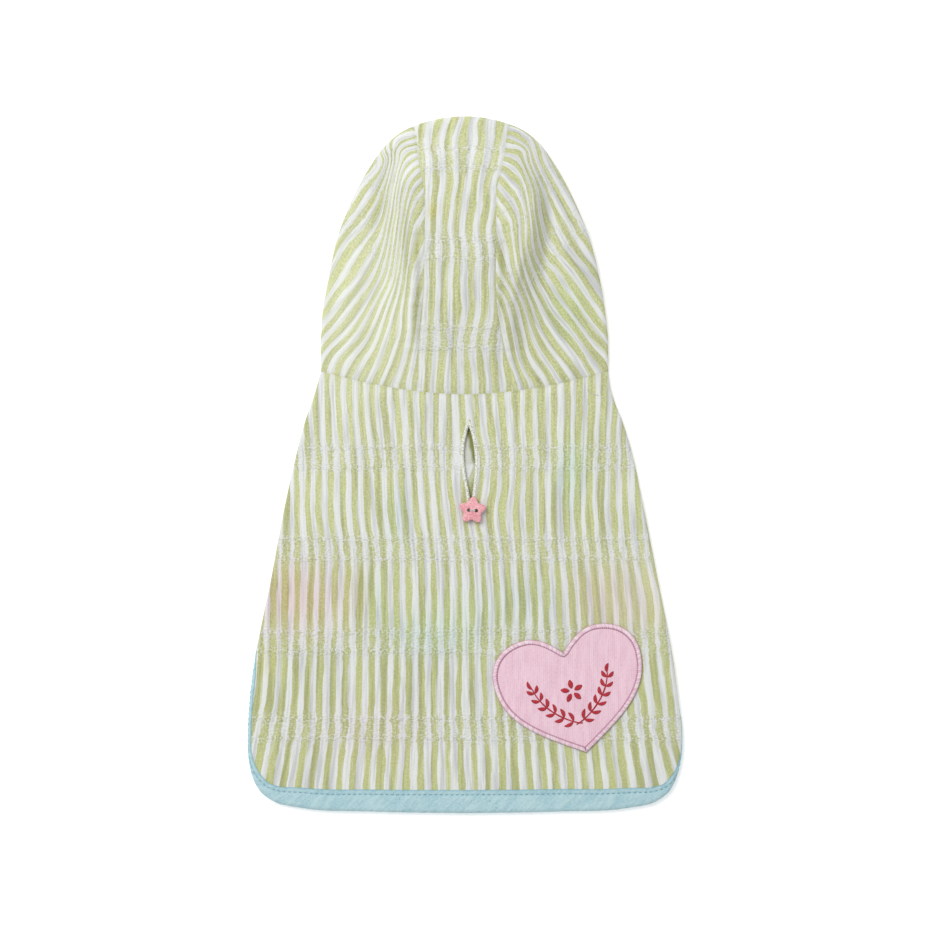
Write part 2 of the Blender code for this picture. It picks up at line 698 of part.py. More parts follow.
def build_edging(collection):
    path = slit_path()
    points = on_top(path.at(np.linspace(0, path.length, SLIT_STEPS)).T)
    curve = bpy.data.curves.new("keyhole_edging", "CURVE")
    curve.dimensions = "3D"
    curve.bevel_depth = EDGING_RADIUS * MM
    curve.bevel_resolution = 1
    curve.use_fill_caps = True
    line = curve.splines.new("POLY")
    line.points.add(len(points) - 1)
    for knot, (x, y, z) in zip(line.points, points):
        knot.co = (x * MM, y * MM, (z - EDGING_SINK) * MM, 1)
    made = bpy.data.objects.new("keyhole_edging", curve)
    curve.materials.append(material("keyhole_edging", EDGING_WHITE))
    collection.objects.link(made)
    return made


def build_button(collection):
    """A five-pointed star with soft points and two thread holes."""
    turns = np.linspace(0, 2 * math.pi, 50, endpoint=False)
    mean = BUTTON_RADIUS / (1 + BUTTON_DENT)
    radii = mean * (1 + BUTTON_DENT * np.cos(5 * turns))
    star = [(r * math.sin(a), r * math.cos(a)) for r, a in zip(radii, turns)]
    hole = [(BUTTON_HOLE_RADIUS * math.sin(a), BUTTON_HOLE_RADIUS * math.cos(a)) for a in turns[::5]]
    curve = bpy.data.curves.new("star_button", "CURVE")
    curve.dimensions = "2D"
    curve.fill_mode = "BOTH"
    curve.extrude = (BUTTON_THICKNESS / 2 - BUTTON_EDGE) * MM
    curve.bevel_depth = BUTTON_EDGE * MM
    curve.bevel_resolution = 1
    curve.offset = -BUTTON_EDGE * MM
    shift = BUTTON_HOLE_SPREAD / 2
    for outline, move in ((star, 0), (hole, -shift), (hole, shift)):
        line = curve.splines.new("POLY")
        line.points.add(len(outline) - 1)
        line.use_cyclic_u = True
        for knot, (x, y) in zip(line.points, outline):
            knot.co = ((x + move) * MM, y * MM, 0, 1)
    made = bpy.data.objects.new("star_button", curve)
    curve.materials.append(material("star_button", BUTTON_PINK))
    x, y = BUTTON_AT
    z = float(top_height(x, y)) + BUTTON_CLEAR + BUTTON_THICKNESS / 2
    made.location = (x * MM, y * MM, z * MM)
    made.rotation_euler.z = -BUTTON_TURN
    collection.objects.link(made)
    return made


def heart_outline():
    """Points round the heart, cleft first, in plan about its cleft."""
    half = []
    x0, y0 = 0.0, 0.0
    for arc in HEART_ARCS:
        for k in range(HEART_STEPS):
            t = k / HEART_STEPS
            weights = (1 - t) ** 3, 3 * t * (1 - t) ** 2, 3 * t * t * (1 - t), t**3
            xs, ys = (x0, arc.hx0, arc.hx1, arc.x), (y0, arc.hy0, arc.hy1, arc.y)
            half.append((np.dot(weights, xs), np.dot(weights, ys)))
        x0, y0 = arc.x, arc.y
    return np.array([*half, (x0, y0), *[(-x, y) for x, y in reversed(half[1:])]])


def build_heart(collection):
    """The heart patch with its raised border, made from the back's upper face moved out."""
    outline = heart_outline()
    ahead, behind = np.roll(outline, -1, axis=0), np.roll(outline, 1, axis=0)
    along = (ahead - behind) / np.hypot(*(ahead - behind).T)[:, None]
    inward = np.column_stack([along[:, 1], -along[:, 0]])
    inner = outline + inward * HEART_BORDER
    rings = [HEART_MIDDLE + (inner - HEART_MIDDLE) * share for share in HEART_RINGS]
    rises = [0.0] * len(rings) + [0.0, HEART_BORDER_RISE, HEART_BORDER_RISE]
    rings += [inner, outline + inward * HEART_BORDER * HEART_CREST, outline]
    cosine, sine = math.cos(HEART_TILT), math.sin(HEART_TILT)
    turn = np.array([[cosine, sine], [-sine, cosine]])
    grid = []
    for ring, rise in zip(rings, rises):
        placed = on_top(ring @ turn + np.array(HEART_CLEFT))
        placed[:, 2] += SEAM_GAP + HEART_WALL + rise
        grid.append([*placed, placed[0]])
    grid[0] = [np.mean(grid[0][:-1], axis=0)] * len(grid[0])
    return sheet("heart_patch", grid, HEART_PINK, collection, HEART_WALL)


def build():
    for old in list(bpy.data.objects):
        bpy.data.objects.remove(old)
    vest = bpy.data.collections.new("dog_hooded_vest")
    cutters = bpy.data.collections.new("cutters")
    for collection in (vest, cutters):
        bpy.context.scene.collection.children.link(collection)
    back = build_back(vest)
    belly = build_belly(vest)
    build_strip(vest)
    for side in (LEFT, RIGHT):
        build_hood_side(side, vest)
    build_tape(vest)
    build_edging(vest)
    build_button(vest)
    build_heart(vest)
    cut(back, prism("slit_cutter", slit_outline(), SLIT_CUT, cutters))
    for number, (x, y) in enumerate(ARMHOLES):
        turns = np.linspace(0, 2 * math.pi, ARMHOLE_SIDES, endpoint=False)
        oval = [(x + ARMHOLE_HALF[0] * math.cos(a), y + ARMHOLE_HALF[1] * math.sin(a)) for a in turns]
        cutter = prism(f"armhole_cutter_{number}", oval, ARMHOLE_CUT, cutters)
        cut(back, cutter)
        cut(belly, cutter)


build()
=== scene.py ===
"""A small dog's hooded vest, laid flat with its back up: the cloth, bias tape, slit edging, star
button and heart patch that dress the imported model, and the table that it lies on.

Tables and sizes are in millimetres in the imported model's own frame; meshes are in metres.
"""

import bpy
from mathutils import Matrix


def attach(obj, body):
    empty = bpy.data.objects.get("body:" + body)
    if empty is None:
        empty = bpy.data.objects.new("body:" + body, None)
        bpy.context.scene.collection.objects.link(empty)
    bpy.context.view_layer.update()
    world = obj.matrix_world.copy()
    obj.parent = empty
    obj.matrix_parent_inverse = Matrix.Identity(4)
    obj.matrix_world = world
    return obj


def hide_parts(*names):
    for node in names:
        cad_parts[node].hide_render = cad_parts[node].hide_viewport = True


bl_info = {
    "name": "Dog Hooded Vest",
    "version": (1, 0, 0),
    "blender": (4, 5, 0),
    "location": "View3D > Sidebar > Vest",
    "description": "Makes the cloth, trims and table of a small dog's hooded vest",
    "category": "Object",
}

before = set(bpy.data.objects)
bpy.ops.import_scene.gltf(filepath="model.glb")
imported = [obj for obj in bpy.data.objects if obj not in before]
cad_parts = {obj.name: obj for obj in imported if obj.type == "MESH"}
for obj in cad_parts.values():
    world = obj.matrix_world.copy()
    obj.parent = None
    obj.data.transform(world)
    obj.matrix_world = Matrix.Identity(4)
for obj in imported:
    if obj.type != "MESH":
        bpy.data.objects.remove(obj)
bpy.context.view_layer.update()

import math
from collections import namedtuple

import bmesh
import bpy
import numpy as np
from bpy.props import FloatProperty, FloatVectorProperty, PointerProperty

MM = 0.001
LEFT, RIGHT = -1, 1
CLOTH_WALL, TAPE_WALL = 0.7, 0.5
STRIPE = 6.0
PHOTO_MM, PHOTO_PIXELS = 0.48, 930

# The vest's outline, half-widths left and right of the middle line
HOOD_TOP, TAIL_END = 166.6, -167.4
NECK_CORNER, NECK_DIP, NECK_HALF, NECK_SAG_POWER = 44.2, 33.4, 67.7, 1.8
BELLY_HEM = -62.0
Girth = namedtuple("Girth", "y left right")
BODY_GIRTHS = (
    Girth(44.2, 69.2, 68.8),
    Girth(36.5, 71.4, 69.8),
    Girth(30.7, 73.1, 71.5),
    Girth(21.1, 76.6, 75.3),
    Girth(1.9, 81.6, 81.0),
    Girth(-17.3, 85.9, 85.0),
    Girth(-55.7, 93.2, 92.6),
    Girth(-94.1, 100.8, 99.9),
    Girth(-113.3, 103.2, 102.4),
    Girth(-127.0, 104.0, 104.0),
    Girth(-142.1, 103.6, 103.4),
    Girth(-151.0, 101.5, 101.1),
    Girth(-157.2, 97.9, 97.7),
    Girth(-161.8, 91.5, 91.5),
    Girth(-164.9, 78.0, 78.0),
    Girth(-166.6, 45.0, 45.0),
)
HOOD_GIRTHS = (
    Girth(44.2, 69.2, 68.8),
    Girth(62.4, 69.1, 68.5),
    Girth(73.9, 68.2, 67.2),
    Girth(85.4, 66.2, 65.3),
    Girth(97.0, 64.0, 62.9),
    Girth(108.5, 61.3, 59.7),
    Girth(120.0, 57.1, 55.2),
    Girth(131.5, 51.8, 49.9),
    Girth(143.0, 45.4, 43.4),
    Girth(154.6, 36.3, 34.8),
    Girth(160.1, 28.8, 27.6),
    Girth(164.1, 18.0, 17.2),
)

# Outer radius of the fold along the outline
Fold = namedtuple("Fold", "y radius")
EDGE_FOLDS = (
    Fold(-168, 1.7),
    Fold(-80, 1.7),
    Fold(0, 1.5),
    Fold(44, 1.5),
    Fold(70, 2.0),
    Fold(100, 2.6),
    Fold(130, 3.2),
    Fold(150, 4.2),
    Fold(167, 5.2),
)

# Height of the cloth, the hood's crown above it, and how the edge runs into it
Level = namedtuple("Level", "y cloth crown start span")
LEVELS = (
    Level(-168, 2.5, 0, 13.0, 20),
    Level(-150, 2.2, 0, 13.0, 20),
    Level(-120, 2.1, 0, 13.0, 20),
    Level(-100, 2.5, 0, 13.0, 20),
    Level(-78, 3.7, 0, 8.0, 20),
    Level(-50, 4.5, 0, 1.5, 22),
    Level(20, 4.7, 0, 1.5, 22),
    Level(36, 4.9, 0.6, 1.5, 20),
    Level(48, 5.3, 2.0, 1.6, 17),
    Level(65, 6.2, 6.0, 1.9, 15),
    Level(85, 7.2, 9.5, 2.3, 14),
    Level(110, 7.6, 11.0, 2.8, 14),
    Level(135, 7.9, 10.6, 3.4, 17),
    Level(152, 8.6, 8.6, 4.3, 22),
    Level(167, 10.5, 5.0, 5.2, 24),
)
Crease = namedtuple("Crease", "y left right slope")
CREASES = (
    Crease(34, 42, 40, 36),
    Crease(56, 37, 34, 28),
    Crease(84, 33.5, 31.5, 18),
    Crease(100, 35.0, 34.0, 12),
    Crease(113, 36.5, 36.0, 10),
    Crease(137, 35.5, 37.0, 9),
    Crease(155, 34.0, 34.0, 9),
)

# Soft folds: a curve from start by middle to end, its height and half-width
Ripple = namedtuple("Ripple", "x0 y0 x1 y1 x2 y2 rise width")
RIPPLES = (
    Ripple(-37, 152, -40.5, 118, -35.5, 88, -1.3, 5.0),
    Ripple(38, 152, 41.5, 120, 33.5, 84, -1.3, 5.0),
    Ripple(-21, 96, -23, 76, -25.5, 54, 1.0, 4.5),
    Ripple(17.5, 96, 18.5, 76, 22, 54, 1.0, 4.5),
    Ripple(31, 86, 26.5, 71, 29.5, 54, -0.9, 4.5),
    Ripple(-24, 150, -33, 142, -35, 124, 0.9, 4.5),
    Ripple(20, 150, 30, 146, 35, 128, 0.9, 4.5),
    Ripple(-64, 70, -55, 88, -42, 106, 0.8, 6.0),
    Ripple(-60, 54, -48, 66, -36, 84, 0.7, 6.0),
    Ripple(63, 74, 55, 92, 43, 108, 0.8, 6.0),
    Ripple(60, 54, 50, 62, 38, 76, 0.7, 6.0),
    Ripple(-48, 34, -55, 5, -58, -40, 0.5, 8.0),
    Ripple(52, 32, 58, 0, 60, -45, 0.5, 8.0),
    Ripple(-20, 26, -24, -5, -22, -50, 0.4, 7.0),
    Ripple(26, 26, 26, -10, 30, -48, 0.4, 7.0),
    Ripple(-70, -90, -76, -120, -80, -148, 0.5, 8.0),
    Ripple(-25, -85, -30, -115, -34, -148, 0.4, 8.0),
)
FOLD_FADE, FOLD_STEPS = 0.04, 25
# The narrow tucks beside the strip's seams
TUCKS = (
    Ripple(-22.6, 108, -20.8, 84, -23.4, 58, -1.2, 1.5),
    Ripple(-27.5, 120, -27.5, 100, -28, 78, -0.6, 1.6),
    Ripple(17.6, 112, 18.2, 92, 17.0, 66, -1.2, 1.5),
    Ripple(29.6, 108, 29.0, 94, 23.2, 72, -0.7, 1.5),
    Ripple(24.5, 98, 25.4, 84, 22.0, 62, 0.6, 1.8),
)

# Grooves and dips along the seams, and how the pieces lap, part and tuck in there
NECK_GROOVE, NECK_GROOVE_WIDTH = 0.8, 3.0
STRIP_GROOVE, STRIP_GROOVE_WIDTH = 0.4, 2.0
SEAM_DIP, SEAM_DIP_WIDTH, SEAM_LAP = 0.15, 0.5, 0.03
NECK_LEVEL = 10.0
SEAM_TUCK = ((0.3, 0.3), (0.9, 0.45))
SEAM_GAP, BELLY_GAP = 0.05, 0.02

# Puckers that run away from the seams: height, reach, and how far they keep off the seam
NECK_PUCKER, NECK_PUCKER_REACH, NECK_PUCKER_OFF = 0.32, 7.0, 1.5
STRIP_PUCKER, STRIP_PUCKER_REACHES, STRIP_PUCKER_OFF = 0.34, (2.5, 7.0), 1.2
SLACK = 0.16

# Seams of the hood's centre strip, and where they turn over the brow
STRIP_SEAMS = (
    Girth(44.2, 22.2, 21.2),
    Girth(61.0, 22.1, 17.4),
    Girth(80.0, 20.2, 15.0),
    Girth(108.5, 19.2, 14.9),
    Girth(132.0, 19.7, 15.3),
    Girth(146.5, 22.4, 18.6),
)
STRIP_NECK = Girth(35.0, 22.2, 22.6)
STRIP_BROW = Girth(162.0, 24.8, 21.5)
BROW_DEPTH, BROW_RUN = 9.0, 12.0
LEVEL_SHARE = 0.25

# The cloth turned in round the face, by share of the way from the neck to the brow
Depth = namedtuple("Depth", "share depth")
FACE_DEPTHS = (
    Depth(0, 65.4),
    Depth(0.1, 50),
    Depth(0.22, 33),
    Depth(0.36, 20),
    Depth(0.55, 12.5),
    Depth(1, BROW_DEPTH),
)

# The bias tape's inner edge, by distance round the outline from the middle of the tail
TAPE_WIDTH = 11.3
TapeEdge = namedtuple("TapeEdge", "run left right")
TAPE_EDGES = (
    TapeEdge(0, 12.0, 12.0),
    TapeEdge(58, 11.2, 11.4),
    TapeEdge(78, 10.6, 10.6),
    TapeEdge(90, 9.2, 8.8),
    TapeEdge(98, 7.4, 6.6),
    TapeEdge(105, 5.8, 4.2),
    TapeEdge(112, 4.0, 2.4),
    TapeEdge(120, 2.7, 1.2),
    TapeEdge(132, 2.5, 0.2),
    TapeEdge(146, 2.5, -0.9),
    TapeEdge(158, 2.4, -1.8),
    TapeEdge(168, 1.0, -2.7),
    TapeEdge(180, -2.7, -2.7),
)
CORNER_RUN = 98.0

# How the tape lies, its joins and stitches, and how the back's edge tucks in under it
TAPE_JOINS, TAPE_JOIN_SLOPE = (7.2, -35.5), 0.9
STITCH_IN = 2.2
TAPE_LIFT, TAPE_PUCKER = 0.25, 0.12
TAPE_NEAR, TAPE_EASE = 0.35, 3
STITCH_DENT, STITCH_DENT_WIDTH = 0.22, 0.7
STITCH_RISES = (-0.1, 0.08, 0.12, 0.08, -0.1)
STITCH_RADII = (0.08, 0.16, 0.17, 0.16, 0.08)
TUCK = ((0.5, -0.4), (1.2, -0.55))

# The side seams underneath, where the hem turns in to them, and the armholes and cuts
Under = namedtuple("Under", "side seam_neck seam_hem turn_run")
UNDERSIDES = (Under(LEFT, 47, 73, 180), Under(RIGHT, 43, 69, 168))
ARMHOLES = ((-57.0, 4.0), (55.0, 4.0))
ARMHOLE_HALF = (13.0, 24.0)
ARMHOLE_CUT, SLIT_CUT = (-2, 1.5), (1.9, 12)

# The belly where the slit shows it: a raised patch, and a white fold that leans to both ends
BELLY_RISE = 2.3
SHOWN_AT, SHOWN_HALF, SHOWN_SHARE = (2, 2), (12, 24), 0.3
FOLD_X, FOLD_LEAN_ABOVE, FOLD_LEAN_BELOW = 3.7, 0.209, 0.316
FOLD_LOW, FOLD_BLUR, FOLD_SHADE = -0.6, 0.5, 0.35
FOLD_STRIPE_WIDTH, FOLD_STRIPE = 11, 0.2

# Mesh steps
HEM_ROWS, ARCH_ROWS, SEAM_ROWS = 54, 12, 76
BACK_COLUMNS, ARC_STEPS, UNDER_STEPS = 148, 7, 10
BELLY_COLUMNS, BELLY_ROWS = 96, 80
STRIP_COLUMNS, STRIP_ROWS, BROW_STEPS = 34, 100, 6
HOOD_COLUMNS, HOOD_ROWS, HOOD_UNDER_STEPS = 44, 104, 12
STRIP_ACROSS, HOOD_ACROSS = 40.0, 44.0
TAPE_STEPS = (14, 8, 8)
TAPE_STEP, TAPE_ARCH_STEPS, TAPE_BELLY_STEPS = 1.5, 20, 79
SEAM_CLOSE = (0.0, 0.25, 0.6, 1.1, 1.8)
SLIT_STEPS, EDGING_STEPS, ARMHOLE_STEPS = 45, 260, 48
BUTTON_STEPS, BUTTON_HOLE_STEPS = 120, 28
HEART_STEPS, HEART_RINGS, BORDER_STEPS = 46, 24, 8
# Points whose height is found at once, which bounds the memory
POINTS_AT_ONCE = 3000

# Where the numbered white stripes run, x by y
BODY_STRIPE_NUMBERS = (-15, -12, -6, 0, 1, 6, 12, 14)
BODY_STRIPES = (
    (-154, (-97.4, -76.9, -37.8, 1.8, 8.1, 41.0, 80.7, 95.5)),
    (-132, (-93.6, -73.5, -36.6, 1.1, 7.2, 39.4, 77.8, 90.7)),
    (-113, (-90.5, -72.8, -35.9, 0.3, 6.3, 38.2, 75.8, 88.7)),
    (-84, (-89.2, -71.8, -35.7, 0.3, 6.2, 36.7, 73.4, 86.0)),
    (-65, (-89.0, -71.5, -35.7, 0.3, 6.4, 36.2, 71.9, 85.0)),
    (-46, (-88.8, -70.9, -35.8, -0.6, 5.5, 34.9, 70.3, 81.9)),
    (-20, (-88.1, -73.0, -38.3, -3.2, 2.6, 34.0, 68.1, 79.7)),
    (-12, (-88.3, -72.9, -38.6, -4.2, 4.4, 34.1, 68.2, 79.5)),
    (2, (-88.6, -72.8, -39.1, -4.8, 5.4, 34.3, 68.4, 79.2)),
    (16, (-89.4, -73.6, -40.6, -4.7, 3.2, 34.0, 69.1, 78.3)),
    (31, (-90.2, -74.2, -42.0, -4.8, 1.3, 33.7, 69.9, 81.0)),
)
STRIP_STRIPE_NUMBERS = (0, 2, 3, 5)
STRIP_STRIPES = (
    (38, (-21.6, -8.6, -1.9, 11.5)),
    (58, (-20.2, -7.2, -2.4, 10.1)),
    (72, (-19.2, -7.2, 0.0, 12.5)),
    (86, (-18.2, -7.2, -0.5, 12.5)),
    (101, (-18.7, -6.2, 0.0, 12.5)),
    (110, (-17.8, -7.2, -1.0, 11.5)),
    (125, (-17.8, -5.8, 0.0, 13.4)),
    (134, (-17.3, -4.3, 1.4, 13.9)),
    (144, (-17.3, -4.3, 2.4, 17.3)),
    (154, (-17.7, -4.8, 4.3, 19.4)),
    (163, (-16.4, -2.6, 4.2, 20.4)),
    (168.5, (-14.4, -0.8, 5.9, 21.0)),
)
# The stripe at even shares from the strip's seam to the outline, by y
SIDE_STRIPE_SHARES = tuple(k / 6 for k in range(7))
SIDE_STRIPES = {
    LEFT: (
        (38, (-0.9, 0.5, 1.6, 2.8, 3.9, 5.2, 6.4)),
        (50, (-0.5, 1.1, 2.4, 3.7, 4.8, 5.9, 7.1)),
        (62, (-0.1, 1.7, 3.1, 4.9, 6.3, 7.4, 8.5)),
        (76, (0.0, 1.6, 3.9, 6.2, 7.7, 8.8, 10.0)),
        (90, (0.5, 1.8, 5.1, 7.6, 8.9, 9.9, 10.8)),
        (104, (1.1, 2.2, 5.6, 8.6, 9.8, 10.6, 11.6)),
        (118, (1.8, 2.9, 5.8, 9.3, 10.7, 11.7, 12.7)),
        (132, (3.2, 4.2, 5.9, 9.2, 11.4, 12.3, 13.2)),
        (145, (6.2, 6.7, 7.5, 9.2, 11.5, 12.9, 13.7)),
        (150, (7.7, 7.9, 8.2, 8.9, 10.3, 12.0, 13.5)),
        (156, (9.5, 9.7, 9.9, 10.3, 10.9, 11.9, 13.2)),
        (162, (11.8, 12.0, 12.2, 12.4, 12.7, 13.0, 13.4)),
    ),
    RIGHT: (
        (38, (-0.7, 0.7, 1.8, 3.0, 4.0, 5.1, 6.2)),
        (50, (-0.4, 1.4, 2.7, 3.9, 4.9, 6.1, 7.1)),
        (62, (-0.4, 1.5, 3.5, 4.9, 6.0, 7.3, 8.4)),
        (76, (0.0, 1.9, 4.3, 6.1, 7.3, 8.5, 9.7)),
        (90, (1.6, 3.2, 5.5, 7.2, 8.4, 9.5, 10.6)),
        (104, (2.5, 3.8, 6.3, 8.5, 9.6, 10.6, 11.7)),
        (118, (3.1, 4.2, 5.9, 8.8, 10.1, 11.2, 12.3)),
        (132, (4.8, 5.7, 6.5, 8.4, 10.4, 11.6, 12.5)),
        (145, (7.3, 7.6, 8.1, 9.4, 10.9, 11.9, 13.0)),
        (150, (8.5, 8.6, 8.7, 9.4, 10.8, 11.8, 13.1)),
        (156, (9.8, 10.0, 10.3, 10.9, 11.4, 12.1, 13.3)),
        (162, (12.2, 12.4, 12.6, 12.8, 13.0, 13.2, 13.5)),
    ),
}
SIDE_GRAIN = math.radians(45)
# Where each piece starts to count, so that no two pieces share their irregular stripes
BELLY_COUNT, STRIP_COUNT, SIDE_COUNTS = 0.87, 40, {LEFT: 60, RIGHT: 100}

# Rows where elastic thread crinkles the cloth: each is a pair of lines
CRINKLE_ROWS = (-126.7, -85.0, -40.6, 3.4, 60.5, 102.7, 145.9)
SIDE_CRINKLE_ROWS, SIDE_CRINKLE = (44.5, 68.0), 0.55
CRINKLE_APART, CRINKLE_WIDTH, CRINKLE_SPREAD = 4.6, 2.0, 8.5

# Washes of dye, painted light and broad white stripes: middle, half-sizes, strength
Wash = namedtuple("Wash", "x y wide tall strength")
WASHES = {
    "pink": (
        Wash(-80, -64, 23, 17, 0.75),
        Wash(72, -65, 22, 16, 0.65),
        Wash(-46, -128, 26, 16, 0.2),
    ),
    "ochre": (
        Wash(-84, -62, 11, 14, 0.2),
        Wash(-50, -62, 9, 15, 0.35),
        Wash(68, -62, 13, 12, 0.15),
        Wash(88, -72, 7, 8, 0.25),
        Wash(-94, -94, 5, 9, 0.4),
        Wash(-15.5, 120.5, 2.6, 3.8, 0.8),
    ),
    "blue": (
        Wash(-32, -25, 7, 14, 0.45),
        Wash(50, -10, 7, 16, 0.45),
        Wash(-42, -66, 5, 16, 0.45),
        Wash(-18, -84, 22, 10, 0.4),
        Wash(25, -66, 30, 12, 0.3),
    ),
    "fresh": (Wash(-8, -78, 26, 12, 0.4), Wash(52, 2, 9, 14, 0.5), Wash(50, 74, 10, 14, 0.35)),
    # Painted light: the light washes lighten the cloth in patches, where more light falls
    "light": (Wash(-48, 70, 27, 44, 0.9), Wash(78, -62, 20, 22, 1.0)),
    "broad": (Wash(-31, 146, 15, 16, 1.0), Wash(30, 148, 9, 11, 0.5)),
}
SEAM_SHADE, SEAM_SHADE_WIDTH, TUCK_SHADE = 0.15, 0.8, 0.38
TOP_FACE = 2.2

# The leash slit
EDGING_RADIUS, EDGING_SINK = 1.0, 0.45
Slit = namedtuple("Slit", "y left right")
SLIT = (
    Slit(-18.5, 1.9, 4.1),
    Slit(-11.9, 0.8, 4.7),
    Slit(-4.4, -0.5, 5.4),
    Slit(4.1, -1.3, 5.5),
    Slit(10.0, -0.9, 4.8),
    Slit(15.5, 0.2, 3.6),
    Slit(18.4, 1.0, 2.6),
)
SLIT_TOP = (1.6, 21.2)
SLIT_UNDER_EDGING = 0.2
EDGING_BEAD = 1.1

# The star button
BUTTON_AT = (3.6, -22.2)
BUTTON_RADIUS, BUTTON_DENT = 6.6, 0.19
BUTTON_THICKNESS = 2.4
BUTTON_TURN = math.radians(4)
BUTTON_HOLE_RADIUS, BUTTON_HOLE_SPREAD = 0.8, 3.6
BUTTON_CLEAR, BUTTON_RIM = 1.2, 0.75
HOLE_CUT = (-2, 2)

# The button's thread, and the thread end that hangs loose at the neck
THREAD_RADIUS, THREAD_IN_HOLE, THREAD_APART = 0.2, 0.35, 0.22
LOOSE_THREAD_AT, LOOSE_THREAD_RUN, LOOSE_THREAD_SAG = (58.5, 35.6), (5.5, -2.6), 0.8
LOOSE_THREAD_RADIUS, LOOSE_THREAD_LIFT = 0.13, 0.16

# Half of the heart from its cleft to its tip, each row a curve's end and its two handles
HeartArc = namedtuple("HeartArc", "hx0 hy0 hx1 hy1 x y")
HEART_ARCS = (
    HeartArc(3.5, 3.6, 9.7, 9.8, 16.9, 9.8),
    HeartArc(28.2, 9.8, 36.1, 2.8, 36.1, -7.7),
    HeartArc(36.1, -26.8, 21.6, -35.8, 0.0, -49.2),
)
HEART_CLEFT = (47.1, -90.4)
HEART_TILT = math.radians(13)
HEART_BORDER, HEART_WALL, HEART_LIFT = 2.7, 0.8, 0.3
HEART_MIDDLE = (0.0, -15.0)
HEART_FACE, HEART_FACE_SINK = 0.95, 0.2
HEART_PUFF, HEART_QUILT = 0.25, 0.10
BORDER_RISE, BORDER_SINK, BORDER_WALL = 0.75, 0.4, 0.45

# The sprig on the heart: two bent stems, their pairs of leaves, and a flower
STEM_FOOT, STEM_RISE, STEM_SPREAD, STEM_CROSS, STEM_BEND = -35.0, 21.0, 20.5, 1.6, 1.35
STEM_WIDTH, LEAF_WIDTH, PETAL_WIDTH = 0.42, 0.95, 1.25
LEAF_LENGTH, LEAF_TAPER, LEAF_SPREAD = 5.2, 0.03, 0.75
TIP_LENGTH, TIP_LEAN, TIP_WIDTH = 4.6, 0.35, 0.9
PETALS, PETAL_LENGTH, FLOWER_RADIUS, FLOWER_Y = 5, 4.3, 1.3, -19.0


def display(red, green, blue):
    """A colour as seen on a screen, 0 to 255, in linear light."""
    parts = (part / 255 for part in (red, green, blue))
    return tuple(p / 12.92 if p <= 0.04045 else ((p + 0.055) / 1.055) ** 2.4 for p in parts)


# ---- shapes -------------------------------------------------------------------------------


def hermite(knots, values, at):
    """Values of the smooth curve through the knots. Values may have a column for each place."""
    knots, values, at = (np.asarray(part, float) for part in (knots, values, at))
    slopes = np.gradient(values, knots, axis=0)
    k = np.clip(np.searchsorted(knots, at) - 1, 0, len(knots) - 2)
    span = knots[k + 1] - knots[k]
    t = np.clip((at - knots[k]) / span, 0, 1)
    if values.ndim > 1:
        low, high = (k, np.arange(len(at))), (k + 1, np.arange(len(at)))
    else:
        low, high = k, k + 1
    start = (1 + 2 * t) * (1 - t) ** 2 * values[low] + t * (1 - t) ** 2 * span * slopes[low]
    end = t * t * (3 - 2 * t) * values[high] + t * t * (t - 1) * span * slopes[high]
    return start + end


def read(table, column, at):
    """A table's column, smooth between its rows, which run by the first column."""
    return hermite([row[0] for row in table], [getattr(row, column) for row in table], at)


def ramp(t):
    """0 up to t = 0, 1 from t = 1, smooth between."""
    t = np.clip(t, 0, 1)
    return t * t * (3 - 2 * t)


def halves(row, side):
    return side * (row.left if side == LEFT else row.right)


def running(points):
    """Length along a line of points, from the first to each."""
    steps = np.linalg.norm(np.diff(np.asarray(points, float), axis=0), axis=1)
    return np.concatenate([[0], np.cumsum(steps)])


class Trim:
    """A smooth plan curve through a few points, read by running length from its first point."""

    STEP = 0.8

    def __init__(self, points, side, beyond=()):
        """The curve ends at the last of the points, bound for the one beyond."""
        points = np.array([*points, *beyond], float)
        knots = running(points)
        end = knots[-1 - len(beyond)]
        fine = np.linspace(0, end, int(end / self.STEP) + 1)
        self.points = np.column_stack([hermite(knots, points[:, k], fine) for k in (0, 1)])
        self.runs = running(self.points)
        self.length = self.runs[-1]
        self.side = side

    def at(self, run):
        return np.array([np.interp(run, self.runs, self.points[:, k]) for k in (0, 1)])

    def outward(self, run):
        """Unit vector away from the garment."""
        along = self.at(np.minimum(run + 1, self.length)) - self.at(np.maximum(run - 1, 0))
        along = along / np.hypot(*along)
        return self.side * np.array([along[1], -along[0]])

    def run_at_y(self, y):
        return float(np.interp(y, self.points[:, 1], self.runs))


def body_edge(side):
    """The outline from the middle of the tail, round the corner and up one side to the neck."""
    rows = [(halves(row, side), row.y) for row in reversed(BODY_GIRTHS)]
    return Trim([(0, TAIL_END), *rows], side)


def hood_edge(side):
    """The outline from the neck up one side to the middle of the brow."""
    rows = [(halves(row, side), row.y) for row in HOOD_GIRTHS]
    return Trim([*rows, (0, HOOD_TOP)], side, [(-rows[-1][0], rows[-1][1])])


BODY_EDGES = {side: body_edge(side) for side in (LEFT, RIGHT)}
HOOD_EDGES = {side: hood_edge(side) for side in (LEFT, RIGHT)}
OUTLINE = np.vstack([edge.points for edges in (BODY_EDGES, HOOD_EDGES) for edge in edges.values()])


def fold_radius(y):
    return read(EDGE_FOLDS, "radius", y)


def neck_seam(x):
    """y of the seam between the hood and the back."""
    return NECK_DIP + (NECK_CORNER - NECK_DIP) * np.abs(np.asarray(x) / NECK_HALF) ** NECK_SAG_POWER


def seam_x_at(side, y):
    """x of the strip's seam on one side."""
    rows = (STRIP_NECK, *STRIP_SEAMS, STRIP_BROW)
    return hermite([row.y for row in rows], [halves(row, side) for row in rows], y)


def brow_run(side):
    """Where the strip's seam crosses the outline at the brow."""
    edge = HOOD_EDGES[side]
    return float(np.interp(-abs(halves(STRIP_BROW, side)), -np.abs(edge.points[:, 0]), edge.runs))


